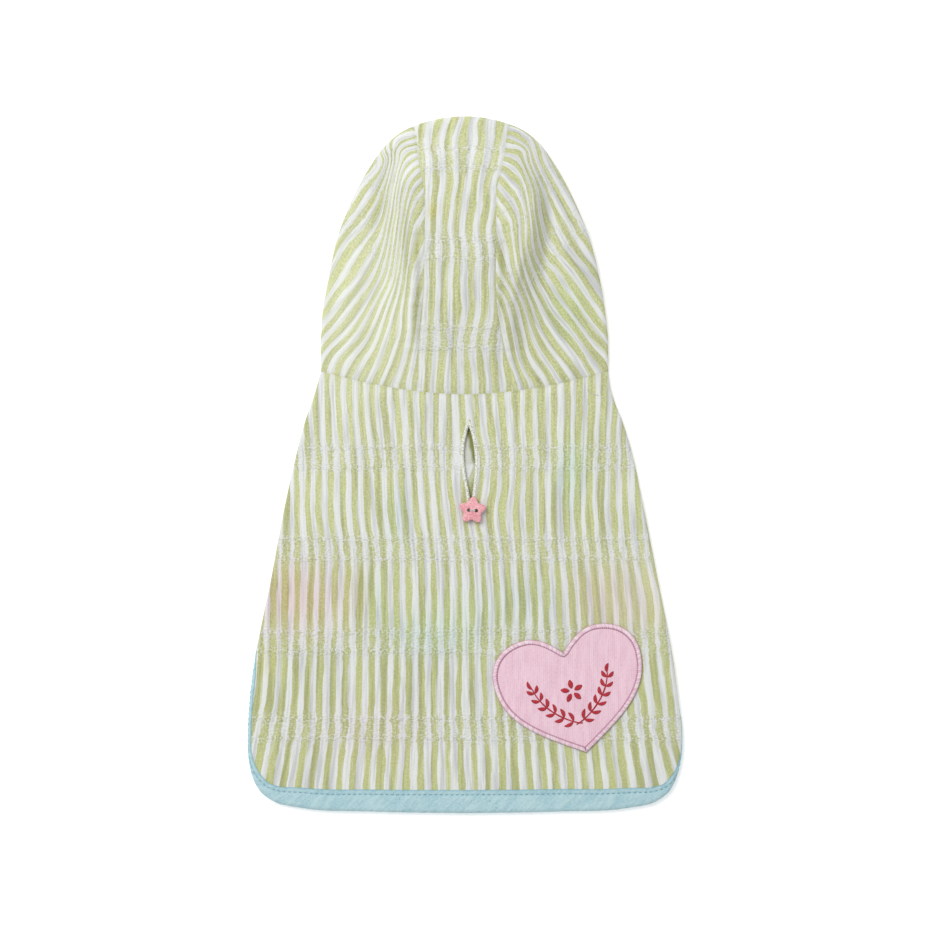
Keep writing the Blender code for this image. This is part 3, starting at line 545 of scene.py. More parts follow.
def strip_seam(side):
    """The seam between the hood's centre strip and one side, from the neck to the brow's fold."""
    edge = HOOD_EDGES[side]
    run = brow_run(side)
    brow = edge.at(run) - edge.outward(run) * fold_radius(STRIP_BROW.y)
    rows = [(halves(row, side), row.y) for row in (STRIP_NECK, *STRIP_SEAMS)]
    return Trim([*rows, tuple(brow)], side)


def folds(table, x, y):
    """The height that the soft folds of a table add."""
    total = np.zeros(np.shape(x))
    for fold in table:
        t = np.linspace(0, 1, FOLD_STEPS)
        path_x = (1 - t) ** 2 * fold.x0 + 2 * t * (1 - t) * fold.x1 + t * t * fold.x2
        path_y = (1 - t) ** 2 * fold.y0 + 2 * t * (1 - t) * fold.y1 + t * t * fold.y2
        apart = np.hypot(np.subtract.outer(x, path_x), np.subtract.outer(y, path_y))
        nearest = apart.argmin(axis=-1)
        fade = np.sin(np.pi * (FOLD_FADE + (1 - 2 * FOLD_FADE) * t[nearest])) ** 0.6
        total = total + fold.rise * fade * np.exp(-((apart.min(axis=-1) / fold.width) ** 2))
    return total


def off_seams(x, y):
    """Distance of plan points from the neck's and the strip's seams."""
    apart = np.abs(y - neck_seam(x))
    for side in (LEFT, RIGHT):
        beside = np.abs(x - seam_x_at(side, y))
        apart = np.where(y > NECK_DIP, np.minimum(apart, beside), apart)
    return apart


def gathers(x, y):
    """Small puckers that run away from the seams, and the slack of the cloth between the rows.
    Waves of a few lengths are mixed, so that neither looks even."""
    neck = y - neck_seam(x)
    along = np.sin(x * 1.02 + 0.9 * np.sin(x * 0.31)) * np.sin(x * 0.37 + 1.1)
    fade = np.exp(-((neck / NECK_PUCKER_REACH) ** 2)) * ramp(np.abs(neck) / NECK_PUCKER_OFF)
    rise = NECK_PUCKER * along * fade
    near, far = STRIP_PUCKER_REACHES
    share = ramp((y - NECK_DIP - 6) / 10)
    for side in (LEFT, RIGHT):
        beside = (x - seam_x_at(side, y)) * side
        along = np.sin(y * 0.95 + 1.3 * np.sin(y * 0.23) + side) * np.sin(y * 0.29 + 2 * side)
        reach = np.where(beside > 0, far, near)
        fade = np.exp(-((beside / reach) ** 2)) * ramp(np.abs(beside) / STRIP_PUCKER_OFF)
        rise = rise + STRIP_PUCKER * share * along * fade
    slack = np.sin(x * 0.21 + 1.7 * np.sin(y * 0.045)) * np.sin(y * 0.16 + 0.8 * np.sin(x * 0.09))
    return rise + SLACK * slack


def height_of(x, y):
    apart = np.hypot(np.subtract.outer(x, OUTLINE[:, 0]), np.subtract.outer(y, OUTLINE[:, 1]))
    inside = apart.min(axis=-1)
    edge_height = 2 * fold_radius(OUTLINE[apart.argmin(axis=-1), 1])
    slope = read(CREASES, "slope", y)
    shelf = ramp((x + read(CREASES, "left", y)) / slope + 0.5)
    shelf = shelf * ramp((read(CREASES, "right", y) - x) / slope + 0.5)
    cloth = read(LEVELS, "cloth", y) + read(LEVELS, "crown", y) * shelf
    share = ramp((inside - read(LEVELS, "start", y)) / read(LEVELS, "span", y))
    groove = NECK_GROOVE * np.exp(-(((y - neck_seam(x)) / NECK_GROOVE_WIDTH) ** 2))
    seam_ys = [row.y for row in STRIP_SEAMS]
    above_neck = ramp((y - NECK_DIP) / 4)
    for side in (LEFT, RIGHT):
        seam = hermite(seam_ys, [halves(row, side) for row in STRIP_SEAMS], y)
        beside = np.exp(-(((x - seam) / STRIP_GROOVE_WIDTH) ** 2))
        groove = groove + STRIP_GROOVE * above_neck * beside
    relief = folds(RIPPLES, x, y) + folds(TUCKS, x, y) + gathers(x, y) - groove
    dip = SEAM_DIP * np.exp(-((off_seams(x, y) / SEAM_DIP_WIDTH) ** 2))
    return edge_height + share * (cloth + relief - edge_height) - dip * ramp(inside / 3)


def top_height(x, y):
    """Height of the garment's upper face at plan points inside the outline."""
    x, y = np.broadcast_arrays(np.asarray(x, float), np.asarray(y, float))
    flat_x, flat_y = x.ravel(), y.ravel()
    some = [slice(k, k + POINTS_AT_ONCE) for k in range(0, len(flat_x), POINTS_AT_ONCE)]
    return np.concatenate([height_of(flat_x[k], flat_y[k]) for k in some]).reshape(x.shape)


def on_top(plan, lift=0.0):
    """Plan points, as rows of x and y, raised to the upper face."""
    plan = np.asarray(plan, float)
    height = top_height(plan[..., 0], plan[..., 1]) + lift
    return np.concatenate([plan, height[..., None]], axis=-1)


def round_edge(edge, run, reach, lift=0.0):
    """The point of the cloth with reach mm of cloth between it and the outline's outermost line,
    lifted off the cloth, but never below the table."""
    point, away = edge.at(run), edge.outward(run)
    radius = float(fold_radius(point[1]))
    lap = math.pi * radius / 2 - reach
    turn = min(max(lap / radius, 0), math.pi)
    beyond = max(lap - math.pi * radius, 0)
    lift = lift * (1 + math.cos(turn)) / 2 if lift > 0 else lift
    inset = radius - (radius + lift) * math.sin(turn) + max(-lap, 0) + beyond
    x, y = point - away * inset
    if lap < 0:
        height = float(top_height(x, y)) + lift
    else:
        height = radius + (radius + lift) * math.cos(turn)
    return np.array([x, y, height])


def quarter(y):
    """Cloth from the top of the edge's fold to its outermost line."""
    return math.pi * float(fold_radius(y)) / 2


def turn_over(edge, run, steps):
    """Points of the cloth round the outline's fold, from its top face to its underside."""
    full = quarter(edge.at(run)[1])
    return [round_edge(edge, run, full - 2 * full * k / steps) for k in range(steps + 1)]


def shares_along(edge):
    runs = running(edge)
    return runs / runs[-1]


def patch(low, high, left, right, across=None):
    """Plan points of a four-sided patch between its edges; low and high run from left to right."""
    low, high, left, right = (np.asarray(edge, float) for edge in (low, high, left, right))
    s = np.linspace(0, 1, len(low)) if across is None else across
    t = (shares_along(left) + shares_along(right)) / 2
    s, t = s[None, :, None], t[:, None, None]
    between = (1 - t) * low[None] + t * high[None] + (1 - s) * left[:, None] + s * right[:, None]
    corners = (1 - t) * ((1 - s) * low[0] + s * low[-1]) + t * ((1 - s) * high[0] + s * high[-1])
    return between - corners


def straight(start, end, steps):
    """Points from start to end, without the first."""
    start, end = np.asarray(start, float), np.asarray(end, float)
    return [start + (end - start) * k / steps for k in range(1, steps + 1)]


def close_at(length, steps, start=True, end=True):
    """Places along a length, close together at its seams."""
    close = np.array(SEAM_CLOSE)
    low = close if start else close[:1]
    high = length - close[::-1] if end else np.array([length])
    return np.concatenate([low, np.linspace(low[-1], high[0], steps)[1:-1], high])


def oval(x, y, wide, tall, steps):
    turns = np.linspace(0, 2 * math.pi, steps, endpoint=False)
    return [(x + wide * math.cos(turn), y + tall * math.sin(turn)) for turn in turns]


# ---- how the striped cloth lies -----------------------------------------------------------


def between_numbers(numbers, places, at):
    """The number at each place, straight between the numbered places of its row and beyond them."""
    numbers = np.asarray(numbers, float)
    k = np.clip((at[:, None] > places).sum(axis=1) - 1, 0, len(numbers) - 2)
    rows = np.arange(len(at))
    low, high = places[rows, k], places[rows, k + 1]
    return numbers[k] + (at - low) / (high - low) * (numbers[k + 1] - numbers[k])


def columns_at(table, y):
    """Every column of a stripe table at each y, kept within the table's rows."""
    ys = np.clip(y, table[0][0], table[-1][0])
    rows = [row[0] for row in table]
    return np.array([hermite(rows, column, ys) for column in zip(*(row[1] for row in table))])


def stripes_by_place(numbers, table, x, y):
    """The stripe at plan points, from a table of where the numbered stripes run."""
    return between_numbers(numbers, columns_at(table, y.ravel()).T, x.ravel()).reshape(x.shape)


def stripes_by_share(side, x, y):
    """The stripe at plan points on one side of the hood."""
    flat_x, flat_y = x.ravel(), y.ravel()
    edge = HOOD_EDGES[side]
    outer = np.abs(np.interp(flat_y, edge.points[:, 1], edge.points[:, 0]))
    inner = np.abs(seam_x_at(side, flat_y))
    share = np.clip((np.abs(flat_x) - inner) / np.maximum(outer - inner, 1), 0, 1)
    stripes = hermite(SIDE_STRIPE_SHARES, columns_at(SIDE_STRIPES[side], flat_y), share)
    return stripes.reshape(x.shape)


def crinkled(along, rows):
    """How strongly the rows of elastic thread crinkle the cloth, 0 to 1."""
    strength = np.zeros(np.shape(along))
    for row in rows:
        strength = np.maximum(strength, 0.5 * np.exp(-(((along - row) / CRINKLE_SPREAD) ** 4)))
        for line in (row - CRINKLE_APART, row + CRINKLE_APART):
            strength = np.maximum(strength, np.exp(-(((along - line) / CRINKLE_WIDTH) ** 2)))
    return strength


def washed(washes, x, y):
    strength = np.zeros(np.shape(x))
    for wash in washes:
        apart = np.hypot((x - wash.x) / wash.wide, (y - wash.y) / wash.tall)
        strength = np.maximum(strength, wash.strength * np.exp(-(apart**2.5)))
    return strength


def run_on(stripe, grid, first, last, step):
    """Carries the stripes on past the top face by the cloth's length, at one side of a grid."""
    for k in range(first, last, step):
        length = np.linalg.norm(grid[:, k + step] - grid[:, k], axis=-1)
        stripe[:, k + step] = stripe[:, k] + np.sign(step) * length / STRIPE


# ---- pieces -------------------------------------------------------------------------------


def only(piece):
    """Selects this piece alone and makes it active."""
    bpy.ops.object.select_all(action="DESELECT")
    piece.select_set(True)
    bpy.context.view_layer.objects.active = piece


def apply_all(piece):
    only(piece)
    for modifier in list(piece.modifiers):
        bpy.ops.object.modifier_apply(modifier=modifier.name)


def settle(piece, stands_for=()):
    """The piece belongs to the vest, and the imported parts that it stands for are hidden."""
    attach(piece, "root")
    if stands_for:
        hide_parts(*stands_for)
    return piece


def cloth_mesh(name, grid, cloth, marks):
    """Rows of points as a mesh, with the cloth's own measure as its UV map."""
    grid = np.asarray(grid, float)
    rows, columns = grid.shape[:2]
    index = np.arange(rows * columns).reshape(rows, columns)
    corners = (index[:-1, :-1], index[:-1, 1:], index[1:, 1:], index[1:, :-1])
    faces = np.stack(corners, axis=-1).reshape(-1, 4)
    mesh = bpy.data.meshes.new(name)
    mesh.from_pydata((grid.reshape(-1, 3) * MM).tolist(), [], faces.tolist())
    measure = mesh.uv_layers.new(name="cloth")
    measure.data.foreach_set("uv", np.asarray(cloth, float).reshape(-1, 2)[faces.ravel()].ravel())
    for mark, values in marks.items():
        mesh.attributes.new(mark, "FLOAT", "POINT").data.foreach_set("value", np.ravel(values))
    shape = bmesh.new()
    shape.from_mesh(mesh)
    bmesh.ops.remove_doubles(shape, verts=shape.verts, dist=0.01 * MM)
    shape.to_mesh(mesh)
    shape.free()
    mesh.shade_smooth()
    return mesh


def panel(name, grid, cloth, material, wall=CLOTH_WALL, **marks):
    """A wall of cloth whose outer face is the grid."""
    piece = bpy.data.objects.new(name, cloth_mesh(name, grid, cloth, marks))
    bpy.context.scene.collection.objects.link(piece)
    piece.data.materials.append(material)
    wall_of = piece.modifiers.new("wall", "SOLIDIFY")
    wall_of.thickness = wall * MM
    wall_of.offset = -1
    apply_all(piece)
    bpy.ops.object.shade_smooth_by_angle(angle=math.radians(50))
    return piece


# Up, leaning a little, so that no thread runs along it
THREAD_UP = (0.0, 0.02, 1.0)


def threads(name, paths, radii, material, sides=6, flat=1.0):
    """Round threads along paths of points, closed at both ends."""
    points, faces, measure = [], [], []
    turns = np.linspace(0, 2 * math.pi, sides, endpoint=False)
    for path, radius in zip(paths, radii):
        path = np.asarray(path, float)
        along = np.gradient(path, axis=0)
        along = along / np.linalg.norm(along, axis=1)[:, None]
        beside = np.cross(along, THREAD_UP)
        beside = beside / np.linalg.norm(beside, axis=1)[:, None]
        up = np.cross(beside, along)
        radius = np.broadcast_to(radius, len(path))[:, None, None]
        ring = np.cos(turns)[None, :, None] * beside[:, None]
        ring = ring + flat * np.sin(turns)[None, :, None] * up[:, None]
        base = len(points)
        points.extend((path[:, None] + radius * ring).reshape(-1, 3))
        runs = running(path)
        for k in range(len(path) - 1):
            for turn in range(sides):
                after = (turn + 1) % sides
                low, high = base + k * sides, base + (k + 1) * sides
                faces.append((low + turn, high + turn, high + after, low + after))
                measure += [(turn / sides, runs[k]), (turn / sides, runs[k + 1])]
                measure += [((turn + 1) / sides, runs[k + 1]), ((turn + 1) / sides, runs[k])]
        last = base + (len(path) - 1) * sides
        faces.append(tuple(base + turn for turn in range(sides)))
        faces.append(tuple(last + turn for turn in reversed(range(sides))))
        measure += [(0.5, runs[0])] * sides + [(0.5, runs[-1])] * sides
    mesh = bpy.data.meshes.new(name)
    mesh.from_pydata((np.array(points) * MM).tolist(), [], faces)
    mesh.uv_layers.new(name="cloth").data.foreach_set("uv", np.ravel(measure))
    mesh.shade_smooth()
    mesh.materials.append(material)
    piece = bpy.data.objects.new(name, mesh)
    bpy.context.scene.collection.objects.link(piece)
    return piece


# ---- materials ----------------------------------------------------------------------------

FULL_TURN = 2 * math.pi
THREAD_TWIST = 5.0
SATIN_PITCH, BEAD_PITCH = 0.45, 0.95

# Tints of the striped cotton and its dyes, and of its painted light and shade
GREY_THREADS, SHEER_GREEN = display(196, 194, 178), display(216, 219, 196)
WHITE_FLECKS, WHITE_CREASE_SHADE = display(214, 216, 212), display(208, 211, 208)
CRINKLE_SHADE_SPECKS, PAINTED_LIGHT_TINT = display(182, 184, 158), display(248, 252, 226)
PAINTED_FOLD_SHADE, SHADE_TINT = display(216, 216, 218), display(176, 178, 138)
DYE_TINTS = {
    "pink": display(252, 229, 240),
    "ochre": display(250, 243, 200),
    "blue": display(234, 248, 254),
    "fresh": display(238, 252, 232),
}
# Tints of the trims, with their painted shade and highlights
TAPE_FLECKS, TAPE_SHADE_AND_JOIN_TINT = display(200, 226, 230), display(186, 216, 228)
EDGING_SHADE, EDGING_FLECKS = display(232, 234, 222), display(168, 172, 136)
BUTTON_SHADE, BUTTON_HOLE = display(229, 152, 160), display(92, 20, 28)
BUTTON_PALE, BUTTON_DARK = display(254, 214, 218), display(206, 122, 134)
HEART_FLECKS, HEART_RIBS = display(243, 214, 224), display(248, 222, 230)
BORDER_HIGHLIGHT, BORDER_LINES_AND_SHADOW = display(252, 230, 238), display(172, 96, 134)
SPRIG_HIGHLIGHT, SPRIG_SIDE_SHADE = display(226, 70, 84), display(142, 14, 30)


class Wire:
    """A number that runs over the surface. Arithmetic on it adds the Math nodes."""

    def __init__(self, finish, socket):
        self.finish, self.socket = finish, socket

    def _math(self, operation, *values):
        return self.finish.node("ShaderNodeMath", {"operation": operation}, dict(enumerate(values)))

    def __add__(self, other):
        return self._math("ADD", self, other)

    def __sub__(self, other):
        return self._math("SUBTRACT", self, other)

    def __rsub__(self, other):
        return self._math("SUBTRACT", other, self)

    def __mul__(self, other):
        return self._math("MULTIPLY", self, other)

    def size(self):
        return self._math("ABSOLUTE", self)

    def nearest_whole(self):
        return self._math("ROUND", self)

    def sine(self):
        return self._math("SINE", self)

    def rise(self, low, high):
        """0 up to low, 1 from high, smooth between."""
        settings = {"interpolation_type": "SMOOTHSTEP"}
        sockets = {"Value": self, "From Min": low, "From Max": high}
        return self.finish.node("ShaderNodeMapRange", settings, sockets)


class Finish:
    """A material in the making."""

    def __init__(self, name, **fixed):
        self.material = bpy.data.materials.new(name)
        self.material.use_nodes = True
        self.shader = self.material.node_tree.nodes["Principled BSDF"]
        for socket, value in fixed.items():
            self.shader.inputs[socket.replace("_", " ")].default_value = value

    def node(self, kind, settings=None, sockets=None, out=0):
        """Adds a node: first its settings, then its sockets' values and links."""
        made = self.material.node_tree.nodes.new(kind)
        for setting, value in (settings or {}).items():
            setattr(made, setting, value)
        for socket, value in (sockets or {}).items():
            self.fill(made.inputs[socket], value)
        return Wire(self, made.outputs[out])

    def fill(self, socket, value):
        if isinstance(value, Wire):
            self.material.node_tree.links.new(value.socket, socket)
        elif socket.type == "RGBA":
            socket.default_value = (*value, 1)
        else:
            socket.default_value = value

    def put(self, **wires):
        for socket, wire in wires.items():
            self.fill(self.shader.inputs[socket.replace("_", " ")], wire)

    def blend(self, share, low, high, way="MIX"):
        """One colour into another by a share."""
        settings = {"data_type": "RGBA", "blend_type": way}
        return self.node("ShaderNodeMix", settings, {0: share, 6: low, 7: high}, out=2)

    def split(self, vector):
        """The first two parts of a vector."""
        return tuple(self.node("ShaderNodeSeparateXYZ", None, {0: vector}, out=k) for k in (0, 1))

    def measure(self):
        """Across and along the cloth, from its UV map."""
        return self.split(self.node("ShaderNodeUVMap", {"uv_map": "cloth"}))

    def point(self, x, y):
        return self.node("ShaderNodeCombineXYZ", None, {0: x, 1: y})

    def place(self):
        return self.node("ShaderNodeTexCoord", out="Object")

    def noise(self, at, scale=1.0, detail=1.0, roughness=0.5):
        """Soft noise, about 0.5 in the middle."""
        sockets = {"Vector": at, "Scale": scale, "Detail": detail, "Roughness": roughness}
        return self.node("ShaderNodeTexNoise", None, sockets)

    def mark(self, name):
        return self.node("ShaderNodeAttribute", {"attribute_name": name}, out="Fac")

    def bump(self, height):
        """Raises the surface by a height in millimetres."""
        sockets = {"Distance": MM, "Height": height}
        self.put(Normal=self.node("ShaderNodeBump", None, sockets, out="Normal"))


def striped_cotton(name, looks):
    """Crinkled cotton with irregular woven stripes. Its UV map counts the stripes across."""
    cloth = Finish(
        name, Roughness=0.9, Specular_IOR_Level=0.15, Sheen_Weight=0.15, Sheen_Roughness=0.6
    )
    across, along = cloth.measure()
    crinkle = cloth.mark("crinkle")

    # Where the stripes run: their wander, own widths, and a see-through layer that lies off them
    wave = cloth.noise(cloth.point(across * 0.55, along * 0.28)) - 0.5
    jog = cloth.noise(cloth.point(across * 1.7, along * 1.3)) - 0.5
    jag = cloth.noise(cloth.point(across * 3.2, along * 5.5), detail=2.0) - 0.5
    bent = across + wave * 0.28 + jog * (crinkle * 0.5 + 0.10) + jag * (crinkle * 0.32 + 0.06)
    number = bent.nearest_whole()
    one_way = {"noise_dimensions": "1D"}
    own = cloth.node("ShaderNodeTexWhiteNoise", one_way, {"W": number + 0.37}, out="Value")
    swell = cloth.noise(cloth.point(number * 3.1, along * 0.35)) - 0.5
    half = own * 0.10 + swell * 0.18 + cloth.mark("broad") * 0.09 + 0.175
    off = (bent - number).size()
    white = 1 - (off - half).rise(-0.035, 0.035)
    shift = (cloth.noise(cloth.point(number * 1.7 + 11, along * 0.3)) - 0.5) * 0.75
    sheer = 1 - ((bent - number - shift).size() - half).rise(-0.01, 0.05)

    # Threads, flecks and small folds
    folds_along = cloth.noise(cloth.point(across * 2.7, along * 0.14), detail=2.0, roughness=0.6)
    fleck = cloth.noise(cloth.point(across * 7.0, along * 6.0), roughness=0.6)
    grey_fleck = cloth.noise(cloth.point(across * 6.5 + 31, along * 6.0), roughness=0.6)
    warp = cloth.noise(cloth.point(across * 8.0, along * 0.7), roughness=0.6)
    cloud = cloth.noise(cloth.point(across * 0.8, along * 0.5), detail=2.0, roughness=0.6)
    crease_shade = cloth.noise(cloth.point(across * 4.6 + 7, along * 0.35))
    specks = cloth.noise(cloth.point(across * 5.5, along * 6.5))

    light, deep = looks.green_light, looks.green_deep
    lit = fleck.rise(0.34, 0.66) * 0.7 + warp.rise(0.35, 0.65) * 0.3
    green = cloth.blend(lit, deep, light)
    green = cloth.blend(grey_fleck.rise(0.52, 0.7) * 0.55, green, GREY_THREADS)
    green = cloth.blend(cloud.rise(0.3, 0.7) * 0.16, green, light)
    # Painted shade: the green darkens towards the tail, where less light falls
    tailward_shade = cloth.split(cloth.place())[1].rise(0.04, -0.12)
    green = cloth.blend(tailward_shade * 0.45, green, deep)
    # Painted shade of the ridges, on the green's edges beside the white stripes
    edge = 1 - (off - half).size().rise(0.0, 0.10)
    green = cloth.blend(edge * 0.3, green, deep)
    green = cloth.blend(sheer * 0.6, green, SHEER_GREEN)
    plain = cloth.blend(grey_fleck.rise(0.45, 0.7) * 0.35, looks.white, WHITE_FLECKS)
    # Painted shade of soft creases in the white stripes
    plain = cloth.blend(crease_shade.rise(0.52, 0.62) * 0.4, plain, WHITE_CREASE_SHADE)

    stripes = cloth.blend(white, green, plain)
    # Painted shade along the soft folds, which the bump below also raises
    stripes = cloth.blend(folds_along.rise(0.42, 0.68) * 0.75, stripes, PAINTED_FOLD_SHADE, "MULTIPLY")
    # In the crinkle bands: white specks, partly white threads that show and partly painted
    # highlight on the crinkles, and dark specks of painted shade
    stripes = cloth.blend(specks.rise(0.5, 0.6) * crinkle * 0.65, stripes, looks.white)
    stripes = cloth.blend((1 - specks.rise(0.36, 0.46)) * crinkle * 0.36, stripes, CRINKLE_SHADE_SPECKS)
    for mark, tint in DYE_TINTS.items():
        stripes = cloth.blend(cloth.mark(mark), stripes, tint, "MULTIPLY")
    # Painted light, where the light washes say
    stripes = cloth.blend(cloth.mark("light") * 0.2, stripes, PAINTED_LIGHT_TINT)
    cloth.put(Base_Color=cloth.blend(cloth.mark("shade"), stripes, SHADE_TINT, "MULTIPLY"))

    ridge = (bent * FULL_TURN + math.pi / 2).sine()
    wrinkle = cloth.noise(cloth.point(across * 3.2, along * 5.5), detail=2.0, roughness=0.55)
    height = ridge * 0.08 - folds_along * 0.5 + wrinkle * (crinkle * 0.65 + 0.12) + fleck * 0.08
    cloth.bump(height * looks.crinkle)
    return cloth.material


def tape_cotton(name, looks):
    """Pale blue cotton cut on the bias."""
    tape = Finish(
        name, Roughness=0.8, Specular_IOR_Level=0.2, Sheen_Weight=0.1, Sheen_Roughness=0.5
    )
    across, along = tape.measure()
    slanting = tape.point((across + along) * 1.6, (across - along) * 0.4)
    tone = tape.noise(slanting, detail=2.0, roughness=0.6).rise(0.25, 0.75)
    fleck = tape.noise(tape.point(across * 6.0, along * 6.0))
    colour = tape.blend(tone, looks.tape_deep, looks.tape)
    colour = tape.blend(fleck.rise(0.4, 0.65) * 0.35, colour, TAPE_FLECKS)
    # Painted shade along the tape's inner edge and its stitch row, with the joins' own darker lines
    joined = 1 - tape.mark("join").size().rise(0.1, 0.4)
    colour = tape.blend(tape.mark("shade") + joined * 0.6, colour, TAPE_SHADE_AND_JOIN_TINT, "MULTIPLY")
    tape.put(Base_Color=colour)
    tape.bump(tone * 0.25 + fleck * 0.1 - joined * 0.2)
    return tape.material


def twisted_thread(name, colour):
    """Sewing thread, its plies drawn round and along it, with painted light on their crowns and
    painted shade between them.
    """
    thread = Finish(name, Roughness=0.5, Specular_IOR_Level=0.35)
    around, along = thread.measure()
    plies = ((around + along * THREAD_TWIST) * FULL_TURN).sine()
    # Painted light and painted shade of the plies' twist
    light = tuple(min(1, part * 1.12 + 0.02) for part in colour)
    deep = tuple(part * 0.8 for part in colour)
    thread.put(Base_Color=thread.blend(plies * 0.5 + 0.5, deep, light))
    thread.bump(plies * 0.06)
    return thread.material


def edging_thread(name, looks):
    """White overlock thread packed round the slit's rolled edge."""
    edging = Finish(name, Roughness=0.75, Specular_IOR_Level=0.25, Sheen_Weight=0.1)
    around, along = edging.measure()
    fleck = edging.noise(edging.place(), 1500.0)
    strands = ((around * 2 + along * 1.9 + fleck * 0.5) * FULL_TURN).sine()
    colour = edging.blend(strands * 0.5 + 0.5, EDGING_SHADE, looks.edging)
    colour = edging.blend(fleck.rise(0.53, 0.62) * 0.75, colour, EDGING_FLECKS)
    edging.put(Base_Color=colour)
    edging.bump(strands * 0.05 + fleck * 0.08)
    return edging.material


def button_plastic(name, looks):
    """Speckled pink plastic, with painted shade round and in the button's holes."""
    plastic = Finish(name, Specular_IOR_Level=0.5)
    place = plastic.place()
    cloud = plastic.noise(place, 260.0, 2.0)
    speck = plastic.noise(place, 1500.0)
    colour = plastic.blend(cloud.rise(0.35, 0.65), BUTTON_SHADE, looks.button)
    colour = plastic.blend(speck.rise(0.54, 0.64) * 0.5, colour, BUTTON_PALE)
    colour = plastic.blend((1 - speck.rise(0.36, 0.46)) * 0.5, colour, BUTTON_DARK)
    cosine, sine = math.cos(BUTTON_TURN), math.sin(BUTTON_TURN)
    x, y = (part * (1 / MM) - at for part, at in zip(plastic.split(place), BUTTON_AT))
    # Painted shade in and round the holes, where little light reaches
    beside_hole = (x * cosine - y * sine).size() - BUTTON_HOLE_SPREAD / 2
    off_line = x * sine + y * cosine
    rim = 1 - (beside_hole * beside_hole + off_line * off_line).rise(0.55, 1.05)
    colour = plastic.blend(rim * 0.9, colour, BUTTON_HOLE)
    plastic.put(Base_Color=colour, Roughness=cloud * 0.2 + 0.28)
    plastic.bump(speck * 0.02 + cloud * 0.03)
    return plastic.material


def ribbed_cloth(name, looks):
    """Pink ribbed cloth."""
    ribbed = Finish(
        name, Roughness=0.78, Specular_IOR_Level=0.25, Sheen_Weight=0.15, Sheen_Roughness=0.5
    )
    across, along = ribbed.measure()
    ribs = (across * (FULL_TURN * 6.0)).sine()
    at = ribbed.point(across * 2.5, along * 0.5)
    slub = ribbed.noise(at, detail=2.0, roughness=0.6).rise(0.3, 0.7)
    fleck = ribbed.noise(ribbed.point(across * 8.0, along * 5.0)).rise(0.35, 0.65)
    colour = ribbed.blend(slub, looks.heart_deep, looks.heart)
    colour = ribbed.blend(fleck * 0.3, colour, HEART_FLECKS)
    colour = ribbed.blend((ribs * 0.5 + 0.5) * 0.3, colour, HEART_RIBS)
    ribbed.put(Base_Color=colour)
    ribbed.bump(ribs * 0.025 + slub * 0.08 + fleck * 0.05)
    return ribbed.material


def border_line_and_shadow(along, across):
    """Darker lines: a beaded one inside, where the border's stitches go in, and a thin painted
    shadow outside.
    """
    inset = across * STRIPE
    beads = (along * (FULL_TURN * STRIPE / BEAD_PITCH)).sine() * 0.2 + 0.8
    inner = (1 - (inset - 0.66).size().rise(0.24, 0.56)) * beads
    return inner + inset.rise(HEART_BORDER - 0.75, HEART_BORDER - 0.3) * 0.6


def thread_side_shade(around, along):
    """Painted shade down both sides of a thread that lies on cloth."""
    return (around - 0.25).size().rise(0.1, 0.26)


def satin_stitch(name, colour, light, deep, rims):
    """Packed satin stitches with painted highlights, shaded where the rims say."""
    satin = Finish(
        name, Roughness=0.45, Specular_IOR_Level=0.4, Sheen_Weight=0.15, Sheen_Roughness=0.35
    )
    along, across = satin.measure()
    slanted = along + across * 0.5
    stitches = (slanted * (FULL_TURN * STRIPE / SATIN_PITCH)).sine()
    # Painted highlights: the satin's shine lightens it in patches
    shine = satin.noise(satin.point(slanted * 6.0, across * 1.2), roughness=0.6)
    body = satin.blend(shine.rise(0.38, 0.62), colour, light)
    satin.put(Base_Color=satin.blend(rims(along, across) * 0.85, body, deep))
    satin.bump(stitches * 0.05 + shine * 0.15)
    return satin.material


def table_top(name, looks):
    table = Finish(name, Roughness=0.9, Specular_IOR_Level=0.1)
    grain = table.noise(table.place(), 40.0, 2.0)
    floor = looks.floor
    table.put(Base_Color=table.blend(grain, tuple(part * 0.995 for part in floor), floor))
    table.shader.inputs["Emission Color"].default_value = (1, 1, 1, 1)
    table.shader.inputs["Emission Strength"].default_value = looks.floor_glow
    return table.material


def kept(name, make, *values):
    """The material of this name, made the first time that it is asked for."""
    return bpy.data.materials.get(name) or make(name, *values)


def white_thread():
    return kept("white_thread", twisted_thread, display(236, 234, 230))


# ---- cloth pieces -------------------------------------------------------------------------


def side_seam_x(under, y):
    share = (NECK_CORNER - y) / (NECK_CORNER - BELLY_HEM)
    return under.side * (under.seam_neck + (under.seam_hem - under.seam_neck) * share)


def fold_x(edge, y):
    """Where the side's fold comes down to the underside, as a distance from the middle."""
    return abs(edge.at(edge.run_at_y(y))[0]) - float(fold_radius(y))


def arch_at(under, share):
    """The hem underneath, from the side's fold (share 0) to the side seam (1)."""
    edge = BODY_EDGES[under.side]
    start_y = edge.at(under.turn_run)[1]
    angle = share * math.pi / 2
    y = start_y + (BELLY_HEM - start_y) * math.sin(angle)
    depth = (fold_x(edge, BELLY_HEM) - under.seam_hem) * (1 - math.cos(angle))
    return np.array([under.side * (fold_x(edge, y) - depth), y])


def arch(under, share, shift):
    """A point of that hem moved towards the fold by shift, and the direction it was moved in."""
    along = arch_at(under, share + 0.02) - arch_at(under, share - 0.02)
    away = under.side * np.array([along[1], -along[0]]) / np.hypot(*along)
    return arch_at(under, share) + away * shift, away


def tape_reach(side, run):
    """Cloth between the tape's inner edge and the outline's outermost line."""
    return float(read(TAPE_EDGES, "left" if side == LEFT else "right", run))


